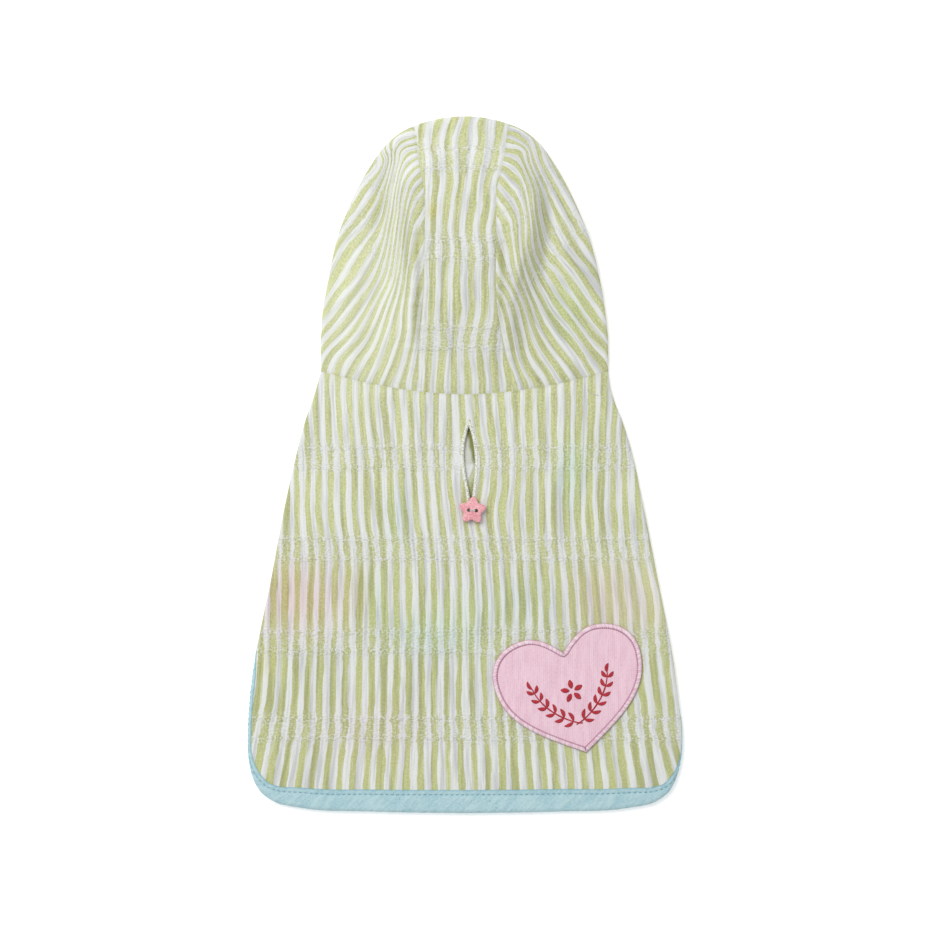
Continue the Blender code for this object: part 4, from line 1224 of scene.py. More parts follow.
def side_rows(under):
    """The back panel's rows at one side, tail first: for each, the points from the top face
    outwards. Beside the tape they end tucked under its edge."""
    edge = BODY_EDGES[under.side]
    rows = []
    for run in np.linspace(CORNER_RUN, under.turn_run, HEM_ROWS + 1):
        full = quarter(edge.at(run)[1])
        reach = tape_reach(under.side, run)
        first = max(reach, full)
        turned = [round_edge(edge, run, at) for at in np.linspace(first, reach, ARC_STEPS + 1)]
        tucked = [round_edge(edge, run, reach - in_by, lift) for in_by, lift in TUCK]
        rows.append([*turned, *tucked, *[tucked[-1]] * (UNDER_STEPS - len(TUCK))])
    hem_ends = [arch(under, k / ARCH_ROWS, SEAM_GAP)[0] for k in range(1, ARCH_ROWS + 1)]
    seam_ys = BELLY_HEM + close_at(NECK_CORNER - BELLY_HEM, SEAM_ROWS, start=False)[1:]
    seam_ends = [np.array([side_seam_x(under, y) + under.side * SEAM_GAP, y]) for y in seam_ys]
    for end in (*hem_ends, *seam_ends):
        turned = np.array(turn_over(edge, edge.run_at_y(end[1]), ARC_STEPS))
        level = ramp(1 - (NECK_CORNER - end[1]) / NECK_LEVEL)
        turned[:, 1] += (end[1] + SEAM_LAP - turned[:, 1]) * level
        rows.append([*turned, *straight(turned[-1], (*end, 0), UNDER_STEPS)])
    return rows


def tucked_on(grid):
    """Carries a panel on past its last row, down under the piece that it is sewn to."""
    ahead, along = grid[-1] - grid[-2], np.gradient(grid[-1], axis=0)
    inward = np.cross(ahead, along)
    ahead, inward = (part / np.linalg.norm(part, axis=-1)[:, None] for part in (ahead, inward))
    extra = [grid[-1] + ahead * in_by + inward * sink for in_by, sink in SEAM_TUCK]
    return np.concatenate([grid, extra])


def tail_point(station, shift, lift=0.0):
    """The tape's inner edge at the tail, moved by shift towards the panel."""
    side = LEFT if station < 0 else RIGHT
    return round_edge(BODY_EDGES[side], abs(station), tape_reach(side, abs(station)) + shift, lift)


def marks_of(grid, crinkle=None):
    """What the cloth's finish needs at each point: crinkle, washes, painted light, and painted
    shade beside seams and in tucks.
    """
    x, y = grid[..., 0], grid[..., 1]
    seam = np.exp(-((off_seams(x, y) / SEAM_SHADE_WIDTH) ** 2))
    tucks = np.clip(-folds(TUCKS, x, y), 0, 1)
    top = grid[..., 2] > TOP_FACE
    marks = {name: washed(washes, x, y) for name, washes in WASHES.items()}
    marks["crinkle"] = crinkled(y, CRINKLE_ROWS) if crinkle is None else crinkle
    marks["shade"] = np.clip((SEAM_SHADE * seam + TUCK_SHADE * tucks) * top, 0, 1)
    return marks


def make_back(cloth):
    left, right = (side_rows(under) for under in UNDERSIDES)
    stations = np.linspace(-CORNER_RUN, CORNER_RUN, BACK_COLUMNS + 1)
    tail = [tail_point(station, 0)[:2] for station in stations]
    left_edge = np.array([row[0][:2] for row in left])
    right_edge = np.array([row[0][:2] for row in right])
    neck_x = np.linspace(left_edge[-1][0], right_edge[-1][0], BACK_COLUMNS + 1)
    neck = np.column_stack([neck_x, neck_seam(neck_x) + SEAM_LAP])
    share = np.linspace(0, 1, BACK_COLUMNS + 1)[:, None]
    neck = neck + (1 - share) * (left_edge[-1] - neck[0]) + share * (right_edge[-1] - neck[-1])
    middle = on_top(patch(tail, neck, left_edge, right_edge))
    grid = [
        [*reversed(turned_left), *top[1:-1], *turned_right]
        for turned_left, top, turned_right in zip(left, middle, right)
    ]
    ends = len(left[0])
    for k, (in_by, lift) in enumerate(TUCK):
        tucked = [tail_point(station, -in_by, lift) for station in stations]
        low_left, low_right = grid[0][:ends], grid[0][-ends:]
        kept_in = UNDER_STEPS - 1 - k
        row = [*low_left[:kept_in], *[tucked[0]] * (ends - kept_in), *tucked[1:-1]]
        grid.insert(0, [*row, *[tucked[-1]] * (ends - kept_in), *low_right[ends - kept_in :]])
    grid = tucked_on(np.array(grid))
    stripe = stripes_by_place(BODY_STRIPE_NUMBERS, BODY_STRIPES, grid[..., 0], grid[..., 1])
    run_on(stripe, grid, ends - 1, 0, -1)
    run_on(stripe, grid, grid.shape[1] - ends, grid.shape[1] - 1, 1)
    measure = np.stack([stripe, grid[..., 1] / STRIPE], axis=-1)
    return panel("back_cloth", grid, measure, cloth, **marks_of(grid))


def make_belly(cloth):
    left, right = UNDERSIDES
    grid = []
    for y in np.linspace(BELLY_HEM + BELLY_GAP, NECK_CORNER - BELLY_GAP, BELLY_ROWS + 1):
        start = np.array([side_seam_x(right, y) - SEAM_GAP, y, 0])
        end = np.array([side_seam_x(left, y) + SEAM_GAP, y, 0])
        grid.append([start, *straight(start, end, BELLY_COLUMNS)])
    grid = np.array(grid)
    measure = np.stack([grid[..., 0] / STRIPE + BELLY_COUNT, grid[..., 1] / STRIPE], axis=-1)
    piece = panel("belly_cloth", grid, measure, cloth, **marks_of(grid))
    behind_slit(piece.data)
    return piece


def behind_slit(mesh):
    """The belly's upper face where the slit shows it: a little raised, a white fold over green, and
    its upper part in shade."""
    points = np.empty(len(mesh.vertices) * 3)
    mesh.vertices.foreach_get("co", points)
    points = points.reshape(-1, 3) / MM
    x, y = points[:, 0], points[:, 1]
    apart = ((x - SHOWN_AT[0]) / SHOWN_HALF[0]) ** 2 + ((y - SHOWN_AT[1]) / SHOWN_HALF[1]) ** 2
    near = np.exp(-apart) * (points[:, 2] > CLOTH_WALL / 2)
    points[:, 2] += BELLY_RISE * near
    mesh.vertices.foreach_set("co", (points * MM).ravel())

    shown = near > SHOWN_SHARE
    above, below = x - FOLD_X + FOLD_LEAN_ABOVE * y, x - FOLD_X - FOLD_LEAN_BELOW * y
    dark = ramp(above / FOLD_BLUR)
    shade = ramp(y - FOLD_LOW) * ((1 - dark) * FOLD_SHADE + dark) * shown
    mesh.attributes["shade"].data.foreach_set("value", shade)
    mesh.attributes["crinkle"].data.foreach_set("value", np.zeros(len(x)))

    corners = np.empty(len(mesh.loops), int)
    mesh.loops.foreach_get("vertex_index", corners)
    measure = mesh.uv_layers["cloth"].data
    laid = np.empty(len(corners) * 2)
    measure.foreach_get("uv", laid)
    laid = laid.reshape(-1, 2)
    corners_shown = shown[corners]
    lean = np.where(y > 0, above, below)[corners][corners_shown]
    laid[corners_shown, 0] = lean / FOLD_STRIPE_WIDTH + FOLD_STRIPE
    measure.foreach_set("uv", laid.ravel())


def make_strip(cloth):
    """The hood's centre strip, from the neck over the brow to the face edge."""
    gap = -SEAM_LAP
    seams = {side: strip_seam(side) for side in (LEFT, RIGHT)}
    s = close_at(STRIP_ACROSS, STRIP_COLUMNS) / STRIP_ACROSS
    sides = {}
    for side, seam in seams.items():
        runs = close_at(seam.length, STRIP_ROWS, end=False)
        sides[side] = (seam.at(runs) - side * np.array([[gap], [0]])).T
    brow_left, brow_right = brow_run(LEFT) + gap, brow_run(RIGHT) + gap
    first, last = brow_left - HOOD_EDGES[LEFT].length, HOOD_EDGES[RIGHT].length - brow_right
    columns = []
    for station in first + (last - first) * s:
        side = LEFT if station < 0 else RIGHT
        edge = HOOD_EDGES[side]
        run = edge.length - abs(station)
        turned = turn_over(edge, run, 2 * ARC_STEPS)
        face = round_edge(edge, run, -quarter(edge.at(run)[1]) - BROW_DEPTH)
        columns.append([*turned, *straight(turned[-1], face, BROW_STEPS)])
    brow = np.array([column[0][:2] for column in columns])
    sides[LEFT][-1], sides[RIGHT][-1] = brow[0], brow[-1]
    neck_x = sides[LEFT][0][0] + (sides[RIGHT][0][0] - sides[LEFT][0][0]) * s
    neck = np.column_stack([neck_x, neck_seam(neck_x) + gap])
    sides[LEFT][0], sides[RIGHT][0] = neck[0], neck[-1]
    top = on_top(patch(neck, brow, sides[LEFT], sides[RIGHT], s))
    over = np.array(columns).transpose(1, 0, 2)
    grid = np.array([*top[:-1], *over])
    stripe = stripes_by_place(STRIP_STRIPE_NUMBERS, STRIP_STRIPES, grid[..., 0], grid[..., 1])
    outermost = len(top) - 1 + ARC_STEPS
    stripe[outermost:] = stripe[outermost]
    runs = np.cumsum(np.linalg.norm(np.diff(grid, axis=0, prepend=grid[:1]), axis=-1), axis=0)
    measure = np.stack([stripe + STRIP_COUNT, runs / STRIPE], axis=-1)
    return panel("hood_strip_cloth", grid, measure, cloth, **marks_of(grid))


def make_hood_side(side, cloth):
    """One side of the hood: neck seam to brow, and from the strip's seam over the edge to the
    face."""
    gap = -SEAM_LAP
    edge, seam = HOOD_EDGES[side], strip_seam(side)
    across_shares = close_at(HOOD_ACROSS, HOOD_COLUMNS, end=False) / HOOD_ACROSS
    length = brow_run(side) - 2 * gap
    row_shares = close_at(length, HOOD_ROWS, end=False) / length
    over = []
    for share in row_shares:
        run = gap + share * length
        turned = turn_over(edge, run, ARC_STEPS)
        depth = float(read(FACE_DEPTHS, "depth", share))
        face = round_edge(edge, run, -quarter(edge.at(run)[1]) - depth)
        face[1] += (turned[-1][1] - face[1]) * ramp(1 - share / LEVEL_SHARE)
        over.append([*turned, *straight(turned[-1], face, HOOD_UNDER_STEPS)])
    over = np.array(over)
    to_brow = seam.length - BROW_RUN
    along_seam = np.concatenate([row_shares * to_brow, to_brow + BROW_RUN * across_shares])
    lapped = (seam.at(along_seam) + side * np.array([[gap], [0]])).T
    inner, brow = lapped[: len(row_shares)], lapped[len(row_shares) :]
    outer = over[:, 0, :2]
    brow[-1] = outer[-1]
    neck_x = inner[0, 0] + (outer[0, 0] - inner[0, 0]) * across_shares
    neck = np.column_stack([neck_x, neck_seam(neck_x) + gap])
    inner[0], neck[-1] = neck[0], outer[0]
    top = on_top(patch(neck, brow, inner, outer, across_shares))
    grid = np.concatenate([top[:, :-1], over], axis=1)
    stripe = stripes_by_share(side, grid[..., 0], grid[..., 1])
    run_on(stripe, grid, len(across_shares) - 1, grid.shape[1] - 1, 1)
    grain = grid[..., 1] * math.cos(SIDE_GRAIN) - np.abs(grid[..., 0]) * math.sin(SIDE_GRAIN)
    crinkle = SIDE_CRINKLE * crinkled(grain, SIDE_CRINKLE_ROWS)
    measure = np.stack([stripe + SIDE_COUNTS[side], grain / STRIPE], axis=-1)
    grid, measure, crinkle = (part[:, ::side] for part in (grid, measure, crinkle))
    name = "hood_left_cloth" if side == LEFT else "hood_right_cloth"
    return panel(name, grid, measure, cloth, **marks_of(grid, crinkle))


# ---- bias tape ----------------------------------------------------------------------------


def tape_lift(run, across):
    """Soft slanting puckers and the stitch row's dent in the tape."""
    slant = np.sin(run * 1.25 + across * 0.75 + 2.2 * np.sin(run * 0.11))
    pucker = slant * np.sin(run * 0.19 + 0.7)
    dent = STITCH_DENT * math.exp(-(((across - STITCH_IN) / STITCH_DENT_WIDTH) ** 2))
    return TAPE_LIFT + TAPE_PUCKER * pucker - dent


def tape_section(edge, run, inner):
    """Across the tape where it turns over the outline: top, fold and underneath."""
    full = quarter(edge.at(run)[1])
    outer = min(inner, full) - TAPE_WIDTH
    top, fold, under = TAPE_STEPS
    turned = [
        *np.linspace(inner, full, top + 1),
        *np.linspace(full, -full, fold + 1)[1:],
        *np.linspace(-full, outer, under + 1)[1:],
    ]
    near = inner - TAPE_NEAR
    low = min(-full, near - 1)
    past = [inner, *np.linspace(near, low, top + fold), *np.linspace(low, outer, under + 1)[1:]]
    share = ramp((inner - full) / TAPE_EASE)
    reaches = [share * a + (1 - share) * b for a, b in zip(turned, past)]
    return [round_edge(edge, run, reach, tape_lift(run, inner - reach)) for reach in reaches]


def flat_section(inner, towards):
    """Across the tape where it lies underneath."""
    start = np.array([*inner, 0])
    return [start, *straight(start, start + TAPE_WIDTH * np.array([*towards, 0]), sum(TAPE_STEPS))]


def tape_ring():
    """The tape's sections all round the rear opening: tail, left side, belly, right side."""
    halfway = {}
    for under in UNDERSIDES:
        edge = BODY_EDGES[under.side]
        runs = np.arange(TAPE_STEP, under.turn_run + TAPE_STEP / 2, TAPE_STEP)
        sections = [tape_section(edge, run, tape_reach(under.side, run)) for run in runs]
        for share in np.linspace(0, 1, TAPE_ARCH_STEPS + 1)[1:]:
            at, away = arch(under, share, -SEAM_GAP)
            sections.append(flat_section(at, -away))
        halfway[under.side] = sections
    ends = halfway[LEFT][-1][0][0], halfway[RIGHT][-1][0][0]
    belly_x = np.linspace(*ends, TAPE_BELLY_STEPS + 1)[1:-1]
    belly = [flat_section((x, BELLY_HEM - SEAM_GAP), (0, -1)) for x in belly_x]
    middle = tape_section(BODY_EDGES[LEFT], 0, TAPE_EDGES[0].left)
    ring = [middle, *halfway[LEFT], *belly, *reversed(halfway[RIGHT]), middle]
    return np.array(ring[::-1])


def make_tape(tape):
    grid = tape_ring()
    middle = grid[:, sum(TAPE_STEPS) // 2]
    runs = running(middle)
    across = np.cumsum(np.linalg.norm(np.diff(grid, axis=1, prepend=grid[:, :1]), axis=-1), axis=1)
    measure = np.stack([np.broadcast_to(runs[:, None], across.shape), across], axis=-1) / STRIPE
    # Painted shade at the tape's inner edge and along its stitch row
    shade = 0.8 * np.exp(-((across / 0.5) ** 2))
    shade = shade + 0.25 * np.exp(-(((across - STITCH_IN) / 0.6) ** 2))
    slant = runs[:, None] - TAPE_JOIN_SLOPE * across
    join = np.min([np.abs(slant - at % runs[-1]) for at in TAPE_JOINS], axis=0)
    piece = panel("hem_tape", grid, measure, tape, TAPE_WALL, shade=shade, join=np.minimum(join, 3))
    return piece, grid, across


def stitch_row(grid, across, inset, stitch, gap):
    """Paths of the stitches in a row that runs round a grid, inset from its inner edge."""
    line = np.array([
        [np.interp(inset, row_across, row[:, k]) for k in range(3)]
        for row, row_across in zip(grid, across)
    ])
    runs = running(line)
    paths = []
    for start in np.arange(0, runs[-1] - stitch, stitch + gap):
        at = start + stitch * np.linspace(0, 1, len(STITCH_RISES))
        path = np.column_stack([np.interp(at, runs, line[:, k]) for k in range(3)])
        path[:, 2] += np.array(STITCH_RISES) * (1 if path[0, 2] > 1 else -0.5)
        path[:, 2] = np.maximum(path[:, 2], max(STITCH_RADII))
        paths.append(path)
    return paths


# ---- slit, button, heart ------------------------------------------------------------------


def slit_path():
    """The middle of the slit's edging in plan, up the left and down the right."""
    left = [(row.left, row.y) for row in SLIT]
    right = [(row.right, row.y) for row in reversed(SLIT)]
    return Trim([*left, SLIT_TOP, *right], LEFT)


def slit_outline():
    """The cut in the cloth, under the middle of the edging."""
    path = slit_path()
    runs = np.linspace(0, path.length, SLIT_STEPS)
    around = [path.at(run) + path.outward(run) * SLIT_UNDER_EDGING for run in runs]
    return [around[0] - (0, 1), *around, around[-1] - (0, 1)]


def prism(outline, low, high):
    """An upright solid with the outline's plan."""
    bpy.ops.object.select_all(action="DESELECT")
    bpy.ops.mesh.primitive_circle_add(vertices=len(outline), radius=MM, fill_type="NGON")
    piece = bpy.context.object
    for vertex, (x, y) in zip(piece.data.vertices, outline):
        vertex.co = (x * MM, y * MM, low * MM)
    bpy.ops.object.mode_set(mode="EDIT")
    bpy.ops.mesh.select_all(action="SELECT")
    up = (0, 0, (high - low) * MM)
    bpy.ops.mesh.extrude_region_move(TRANSFORM_OT_translate={"value": up})
    bpy.ops.mesh.select_all(action="SELECT")
    bpy.ops.mesh.normals_make_consistent(inside=False)
    bpy.ops.object.mode_set(mode="OBJECT")
    return piece


def cut_through(piece, outline, low, high):
    """Cuts an upright hole with the outline's plan."""
    cutter = prism(outline, low, high)
    hole = piece.modifiers.new("hole", "BOOLEAN")
    hole.operation = "DIFFERENCE"
    hole.object = cutter
    apply_all(piece)
    bpy.data.objects.remove(cutter)


def cut_armholes(piece):
    for x, y in ARMHOLES:
        cut_through(piece, oval(x, y, *ARMHOLE_HALF, ARMHOLE_STEPS), *ARMHOLE_CUT)


def heart_outline():
    """Points round the heart, cleft first, in plan about its cleft."""
    half = []
    x0, y0 = 0.0, 0.0
    for arc in HEART_ARCS:
        for k in range(HEART_STEPS):
            t = k / HEART_STEPS
            weights = (1 - t) ** 3, 3 * t * (1 - t) ** 2, 3 * t * t * (1 - t), t**3
            xs, ys = (x0, arc.hx0, arc.hx1, arc.x), (y0, arc.hy0, arc.hy1, arc.y)
            half.append((np.dot(weights, xs), np.dot(weights, ys)))
        x0, y0 = arc.x, arc.y
    return np.array([*half, (x0, y0), *[(-x, y) for x, y in reversed(half[1:])]])


def on_heart(points, lift):
    """Plan points about the heart's cleft, turned with it and raised over the back."""
    cosine, sine = math.cos(HEART_TILT), math.sin(HEART_TILT)
    turn = np.array([[cosine, sine], [-sine, cosine]])
    plan = np.asarray(points, float) @ turn + np.array(HEART_CLEFT)
    return on_top(plan, HEART_LIFT + HEART_WALL + lift)


def inset_heart(outline, inset):
    """The outline moved inwards, no further than the middle line."""
    ahead, behind = np.roll(outline, -1, axis=0), np.roll(outline, 1, axis=0)
    along = (ahead - behind) / np.hypot(*(ahead - behind).T)[:, None]
    room = np.abs(outline[:, 0]) / np.maximum(np.abs(along[:, 1]), 0.001)
    narrows = (outline[:, 0] * along[:, 1] < 0) | (outline[:, 1] == outline[:, 1].min())
    inset = np.where(narrows, np.minimum(inset, room), inset)
    return outline + np.column_stack([along[:, 1], -along[:, 0]]) * inset[:, None]


def make_heart(looks):
    outline = heart_outline()
    middle = np.array(HEART_MIDDLE)
    shares = np.linspace(0, 1, HEART_RINGS)
    plan = np.array([middle + (outline - middle) * share * HEART_FACE for share in shares])
    plan = np.concatenate([plan, plan[:, :1]], axis=1)
    puff = HEART_PUFF * np.sin(np.pi * np.clip((1 - shares) * 5, 0, 0.5))[:, None]
    quilt = HEART_QUILT * np.sin(plan[..., 0] * 0.55 + 1) * np.sin(plan[..., 1] * 0.42)
    grid = on_heart(plan, puff + quilt * (1 - shares[:, None] ** 4) - HEART_FACE_SINK)
    cloth = kept("ribbed_cloth", ribbed_cloth, looks)
    face = panel("heart_cloth_face", grid, grid[..., :2] / STRIPE, cloth, HEART_WALL - 0.1)

    border = []
    for k in range(BORDER_STEPS + 1):
        angle = math.pi * k / BORDER_STEPS
        ring = inset_heart(outline, HEART_BORDER * (0.5 + 0.5 * math.cos(angle)))
        ring = np.vstack([ring, ring[:1]])
        border.append(on_heart(ring, BORDER_RISE * math.sin(angle) - BORDER_SINK))
    border = np.array(border)
    across = np.linspace(0, HEART_BORDER, BORDER_STEPS + 1)
    measure = np.stack(np.meshgrid(running(border[0]), across), axis=-1) / STRIPE
    colours = looks.satin, BORDER_HIGHLIGHT, BORDER_LINES_AND_SHADOW
    satin = kept("border_thread", satin_stitch, *colours, border_line_and_shadow)
    return face, panel("heart_satin_border", border, measure, satin, BORDER_WALL)


def leaf(x, y, angle, length, bend=0.14):
    """A leaf's midline, a little bent."""
    t = np.linspace(0, 1, 12)
    side = bend * length * np.sin(np.pi * t)
    return np.column_stack([
        x + length * t * math.cos(angle) - side * math.sin(angle),
        y + length * t * math.sin(angle) + side * math.cos(angle),
    ])


def sprig_paths():
    """Two leafy branches that meet below a small flower, in plan about the heart's cleft."""
    paths, widths = [], []

    def add(path, widest, least):
        t = np.linspace(0, 1, len(path))
        paths.append(path)
        widths.append(widest * (least + (1 - least) * np.sin(np.pi * t) ** 0.8))

    for side in (LEFT, RIGHT):
        t = np.linspace(0, 1, 40)
        stem_x = side * (STEM_SPREAD * np.sin(t * STEM_BEND) - STEM_CROSS)
        stem_y = STEM_FOOT + STEM_RISE * t**STEM_BEND
        add(np.column_stack([stem_x, stem_y]), STEM_WIDTH, 0.7)
        for k in range(6, 38, 6):
            run = math.atan2(stem_y[k + 1] - stem_y[k], stem_x[k + 1] - stem_x[k])
            length = LEAF_LENGTH - LEAF_TAPER * k
            for hand in (1, -1):
                angle = run + LEAF_SPREAD * hand
                add(leaf(stem_x[k], stem_y[k], angle, length, 0.12 * hand), LEAF_WIDTH, 0.12)
        tip_angle = math.atan2(1, side * TIP_LEAN)
        add(leaf(stem_x[-1], stem_y[-1], tip_angle, TIP_LENGTH), TIP_WIDTH, 0.12)
    for k in range(PETALS):
        angle = math.pi / 2 + 2 * math.pi * k / PETALS
        start_x = FLOWER_RADIUS * math.cos(angle)
        start_y = FLOWER_Y + FLOWER_RADIUS * math.sin(angle)
        add(leaf(start_x, start_y, angle, PETAL_LENGTH, 0), PETAL_WIDTH, 0.2)
    return paths, widths


def make_sprig(looks):
    colours = looks.sprig, SPRIG_HIGHLIGHT, SPRIG_SIDE_SHADE
    red = kept("sprig_thread", satin_stitch, *colours, thread_side_shade)
    paths, widths = sprig_paths()
    raised = [on_heart(path, 0.05) for path in paths]
    return threads("heart_sprig", raised, widths, red, sides=8, flat=0.45)


def make_button(looks):
    """A plump five-pointed star with two holes, shaped from a disc."""
    mean = BUTTON_RADIUS / (1 + BUTTON_DENT)
    turns = [2 * math.pi * k / BUTTON_STEPS for k in range(BUTTON_STEPS)]
    reaches = [mean * (1 + BUTTON_DENT * math.cos(5 * turn)) for turn in turns]
    star = [(r * math.sin(turn), r * math.cos(turn)) for r, turn in zip(reaches, turns)]
    button = prism(star, -BUTTON_THICKNESS / 2, BUTTON_THICKNESS / 2)
    button.name = button.data.name = "pink_star"
    rim = button.modifiers.new("rim", "BEVEL")
    rim.width = BUTTON_RIM * MM
    rim.segments = 5
    rim.limit_method = "ANGLE"
    rim.angle_limit = math.radians(50)
    apply_all(button)
    for side in (LEFT, RIGHT):
        hole_x, wide = side * BUTTON_HOLE_SPREAD / 2, BUTTON_HOLE_RADIUS
        cut_through(button, oval(hole_x, 0, wide, wide, BUTTON_HOLE_STEPS), *HOLE_CUT)
    x, y = BUTTON_AT
    z = float(top_height(x, y)) + BUTTON_CLEAR + BUTTON_THICKNESS / 2
    button.rotation_euler.z = -BUTTON_TURN
    button.location = (x * MM, y * MM, z * MM)
    only(button)
    bpy.ops.object.transform_apply(location=True, rotation=True, scale=True)
    bpy.ops.object.shade_smooth_by_angle(angle=math.radians(40))
    button.data.materials.append(kept("button_plastic", button_plastic, looks))
    return button, np.array([x, y, z])


def button_threads(centre):
    """Two turns of thread through the button's holes, and its shank down to the cloth."""
    half = BUTTON_HOLE_SPREAD / 2 - THREAD_IN_HOLE
    cosine, sine = math.cos(-BUTTON_TURN), math.sin(-BUTTON_TURN)
    paths = []
    t = np.linspace(0, 1, 17)
    x = -half + 2 * half * t
    z = BUTTON_THICKNESS / 2 + 0.1 - 1.6 * np.abs(2 * t - 1) ** 6
    for lay in (-THREAD_APART, THREAD_APART):
        paths.append(np.column_stack([x * cosine - lay * sine, x * sine + lay * cosine, z]))
    t = np.linspace(0, 1, 6)
    z = -BUTTON_THICKNESS / 2 + 0.6 - 2.0 * t
    for x in (-half, half):
        paths.append(np.column_stack([x * (1 - 0.5 * t), np.zeros(len(t)), z]))
    return [path + centre for path in paths]


# ---- the add-on ---------------------------------------------------------------------------


def colour(name, description, default):
    settings = {"subtype": "COLOR", "size": 3, "min": 0, "max": 1}
    return FloatVectorProperty(name=name, description=description, default=default, **settings)


def amount(name, description, default, **settings):
    return FloatProperty(name=name, description=description, default=default, **settings)


class VestLooks(bpy.types.PropertyGroup):
    """Colours and sizes that a maker would change."""

    green_light: colour("Light green", "Lighter green threads", display(216, 220, 170))
    green_deep: colour("Deep green", "Darker green threads", display(182, 187, 124))
    white: colour("White", "White stripes", display(229, 231, 229))
    tape: colour("Tape", "Bias tape round the hem", display(184, 214, 219))
    tape_deep: colour("Tape, darker", "Tape's shaded threads", display(160, 197, 206))
    tape_thread: colour("Tape thread", "Stitches along the bias tape", display(156, 198, 211))
    edging: colour("Edging", "Overlock thread round the leash slit", display(250, 250, 246))
    button: colour("Button", "Plastic of the star button", display(239, 174, 180))
    heart: colour("Heart", "Cloth of the heart patch", display(238, 202, 216))
    heart_deep: colour("Heart, darker", "Heart's shaded threads", display(228, 184, 202))
    satin: colour("Heart border", "Satin thread round the heart", display(236, 198, 213))
    sprig: colour("Sprig", "Thread of the sprig on the heart", display(212, 30, 48))
    floor: colour("Table", "Colour of the table", (0.93, 0.93, 0.93))
    crinkle: amount("Crinkle", "How deep the cloth's fine creases are", 1.0, min=0, max=3)
    stitch: amount("Stitch", "Length of a stitch along the tape", 1.7 * MM, unit="LENGTH")
    stitch_gap: amount("Stitch gap", "Space between the tape's stitches", 0.9 * MM, unit="LENGTH")
    floor_glow: amount("Table glow", "Light that the table adds of its own", 0.3, min=0)
    camera_height: amount("Camera height", "Camera's height over the table", 2.4, unit="LENGTH")
    key_light: amount("Key light", "Soft light from the upper left", 12.0, unit="POWER")
    sky_light: amount("Room light", "Even light from all round", 0.57, min=0)


class VEST_OT_back(bpy.types.Operator):
    """Makes the striped back with its armholes and leash slit"""

    bl_idname = "vest.back"
    bl_label = "Back"

    def execute(self, context):
        cloth = kept("striped_cotton", striped_cotton, context.scene.vest_looks)
        piece = make_back(cloth)
        cut_through(piece, slit_outline(), *SLIT_CUT)
        cut_armholes(piece)
        settle(piece, ["back_panel"])
        return {"FINISHED"}


class VEST_OT_belly(bpy.types.Operator):
    """Makes the belly panel, which lies flat underneath"""

    bl_idname = "vest.belly"
    bl_label = "Belly"

    def execute(self, context):
        piece = make_belly(kept("striped_cotton", striped_cotton, context.scene.vest_looks))
        cut_armholes(piece)
        settle(piece, ["belly_panel"])
        return {"FINISHED"}


class VEST_OT_hood(bpy.types.Operator):
    """Makes the hood's centre strip and its two sides"""

    bl_idname = "vest.hood"
    bl_label = "Hood"

    def execute(self, context):
        cloth = kept("striped_cotton", striped_cotton, context.scene.vest_looks)
        strip = settle(make_strip(cloth), ["hood_centre_panel"])
        for side, node in ((LEFT, "hood_side_left"), (RIGHT, "hood_side_right")):
            piece = settle(make_hood_side(side, cloth), [node])
        return {"FINISHED"}


class VEST_OT_binding(bpy.types.Operator):
    """Makes the bias tape round the hem and its row of stitches"""

    bl_idname = "vest.binding"
    bl_label = "Bias tape"

    def execute(self, context):
        looks = context.scene.vest_looks
        piece, grid, across = make_tape(kept("tape_cotton", tape_cotton, looks))
        settle(piece, ["hem_binding"])
        paths = stitch_row(grid, across, STITCH_IN, looks.stitch / MM, looks.stitch_gap / MM)
        thread = kept("tape_thread", twisted_thread, looks.tape_thread)
        radii = [np.array(STITCH_RADII)] * len(paths)
        stitches = settle(threads("tape_stitches", paths, radii, thread))
        return {"FINISHED"}


class VEST_OT_edging(bpy.types.Operator):
    """Makes the rolled edging of the leash slit"""

    bl_idname = "vest.edging"
    bl_label = "Slit edging"

    def execute(self, context):
        path = slit_path()
        runs = np.linspace(0, path.length, EDGING_STEPS)
        points = on_top(path.at(runs).T, -EDGING_SINK)
        radius = EDGING_RADIUS * (0.88 + 0.12 * np.sin(runs * 2 * math.pi / EDGING_BEAD))
        finish = kept("edging_thread", edging_thread, context.scene.vest_looks)
        edging = threads("slit_rolled_edge", [points], [radius], finish, sides=12)
        settle(edging, ["keyhole_edging"])
        return {"FINISHED"}


class VEST_OT_button(bpy.types.Operator):
    """Makes the star button and the thread that holds it"""

    bl_idname = "vest.button"
    bl_label = "Star button"

    def execute(self, context):
        button, centre = make_button(context.scene.vest_looks)
        settle(button, ["star_button"])
        paths = button_threads(centre)
        radii = [THREAD_RADIUS] * len(paths)
        thread = threads("button_thread", paths, radii, white_thread(), sides=8)
        settle(thread)
        return {"FINISHED"}


class VEST_OT_loose_thread(bpy.types.Operator):
    """Makes the thread end that hangs loose at the neck seam"""

    bl_idname = "vest.loose_thread"
    bl_label = "Loose thread"

    def execute(self, context):
        t = np.linspace(0, 1, 14)
        plan = np.array(LOOSE_THREAD_AT) + np.outer(t, LOOSE_THREAD_RUN)
        plan[:, 1] -= LOOSE_THREAD_SAG * np.sin(math.pi * t)
        path = on_top(plan, LOOSE_THREAD_LIFT)
        thread = threads("neck_loose_thread", [path], [LOOSE_THREAD_RADIUS], white_thread())
        settle(thread)
        return {"FINISHED"}


class VEST_OT_heart(bpy.types.Operator):
    """Makes the heart patch: its ribbed cloth, satin border and sprig"""

    bl_idname = "vest.heart"
    bl_label = "Heart patch"

    def execute(self, context):
        looks = context.scene.vest_looks
        face, edge = make_heart(looks)
        settle(face, ["heart_patch"])
        settle(edge)
        sprig = settle(make_sprig(looks))
        return {"FINISHED"}


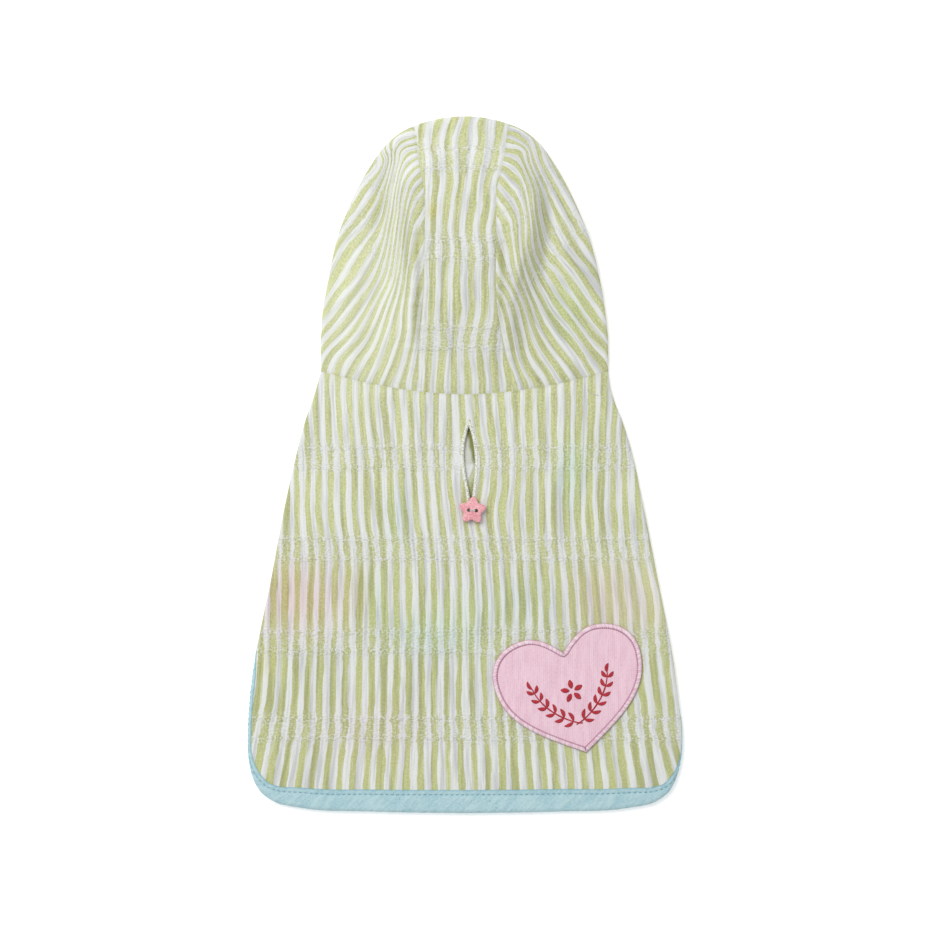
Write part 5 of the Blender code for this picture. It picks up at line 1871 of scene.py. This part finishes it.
class VEST_OT_stage(bpy.types.Operator):
    """Makes the pale table, the soft light and the camera straight above"""

    bl_idname = "vest.stage"
    bl_label = "Table, light and camera"

    def execute(self, context):
        scene, looks = context.scene, context.scene.vest_looks
        bpy.ops.object.select_all(action="DESELECT")
        bpy.ops.mesh.primitive_plane_add(size=6, location=(0, 0, -0.0004))
        table = bpy.context.object
        table.name = "table"
        bpy.ops.object.transform_apply(location=True, rotation=True, scale=True)
        table.data.materials.append(kept("table_top", table_top, looks))

        world = bpy.data.worlds.new("room")
        world.use_nodes = True
        room = world.node_tree.nodes["Background"]
        room.inputs["Color"].default_value = (1, 1, 1, 1)
        room.inputs["Strength"].default_value = looks.sky_light
        scene.world = world
        scene.view_settings.view_transform = "Standard"

        bpy.ops.object.light_add(type="AREA", location=(-0.55, 0.55, 1.2))
        key = bpy.context.object
        key.name = "key_light"
        key.data.size = 0.8
        key.data.energy = looks.key_light
        aim = key.location.normalized()
        key.rotation_euler = aim.to_track_quat("Z", "Y").to_euler()

        across = PHOTO_PIXELS * PHOTO_MM * MM
        above = (0, -MM * PHOTO_MM, looks.camera_height)
        bpy.ops.object.camera_add(location=above, rotation=(0, 0, 0))
        camera = bpy.context.object
        camera.name = "camera"
        camera.data.sensor_fit = "HORIZONTAL"
        camera.data.angle = 2 * math.atan(across / 2 / looks.camera_height)
        camera.data.clip_start, camera.data.clip_end = 0.05, 20
        scene.camera = camera
        return {"FINISHED"}


class VEST_PT_tools(bpy.types.Panel):
    """Lists the vest's pieces and its colours"""

    bl_idname = "VEST_PT_tools"
    bl_label = "Dog hooded vest"
    bl_space_type = "VIEW_3D"
    bl_region_type = "UI"
    bl_category = "Vest"

    def draw(self, context):
        for operator in PIECES:
            self.layout.operator(operator.bl_idname)
        for looks in VestLooks.__annotations__:
            self.layout.prop(context.scene.vest_looks, looks)


PIECES = (
    VEST_OT_back,
    VEST_OT_belly,
    VEST_OT_hood,
    VEST_OT_binding,
    VEST_OT_edging,
    VEST_OT_button,
    VEST_OT_loose_thread,
    VEST_OT_heart,
    VEST_OT_stage,
)
CLASSES = (VestLooks, *PIECES, VEST_PT_tools)


def register():
    for kind in CLASSES:
        bpy.utils.register_class(kind)
    bpy.types.Scene.vest_looks = PointerProperty(type=VestLooks)


def unregister():
    del bpy.types.Scene.vest_looks
    for kind in reversed(CLASSES):
        bpy.utils.unregister_class(kind)


def main():
    register()
    bpy.ops.vest.back()
    bpy.ops.vest.belly()
    bpy.ops.vest.hood()
    bpy.ops.vest.binding()
    bpy.ops.vest.edging()
    bpy.ops.vest.button()
    bpy.ops.vest.loose_thread()
    bpy.ops.vest.heart()
    bpy.ops.vest.stage()


if __name__ == "__main__":
    main()
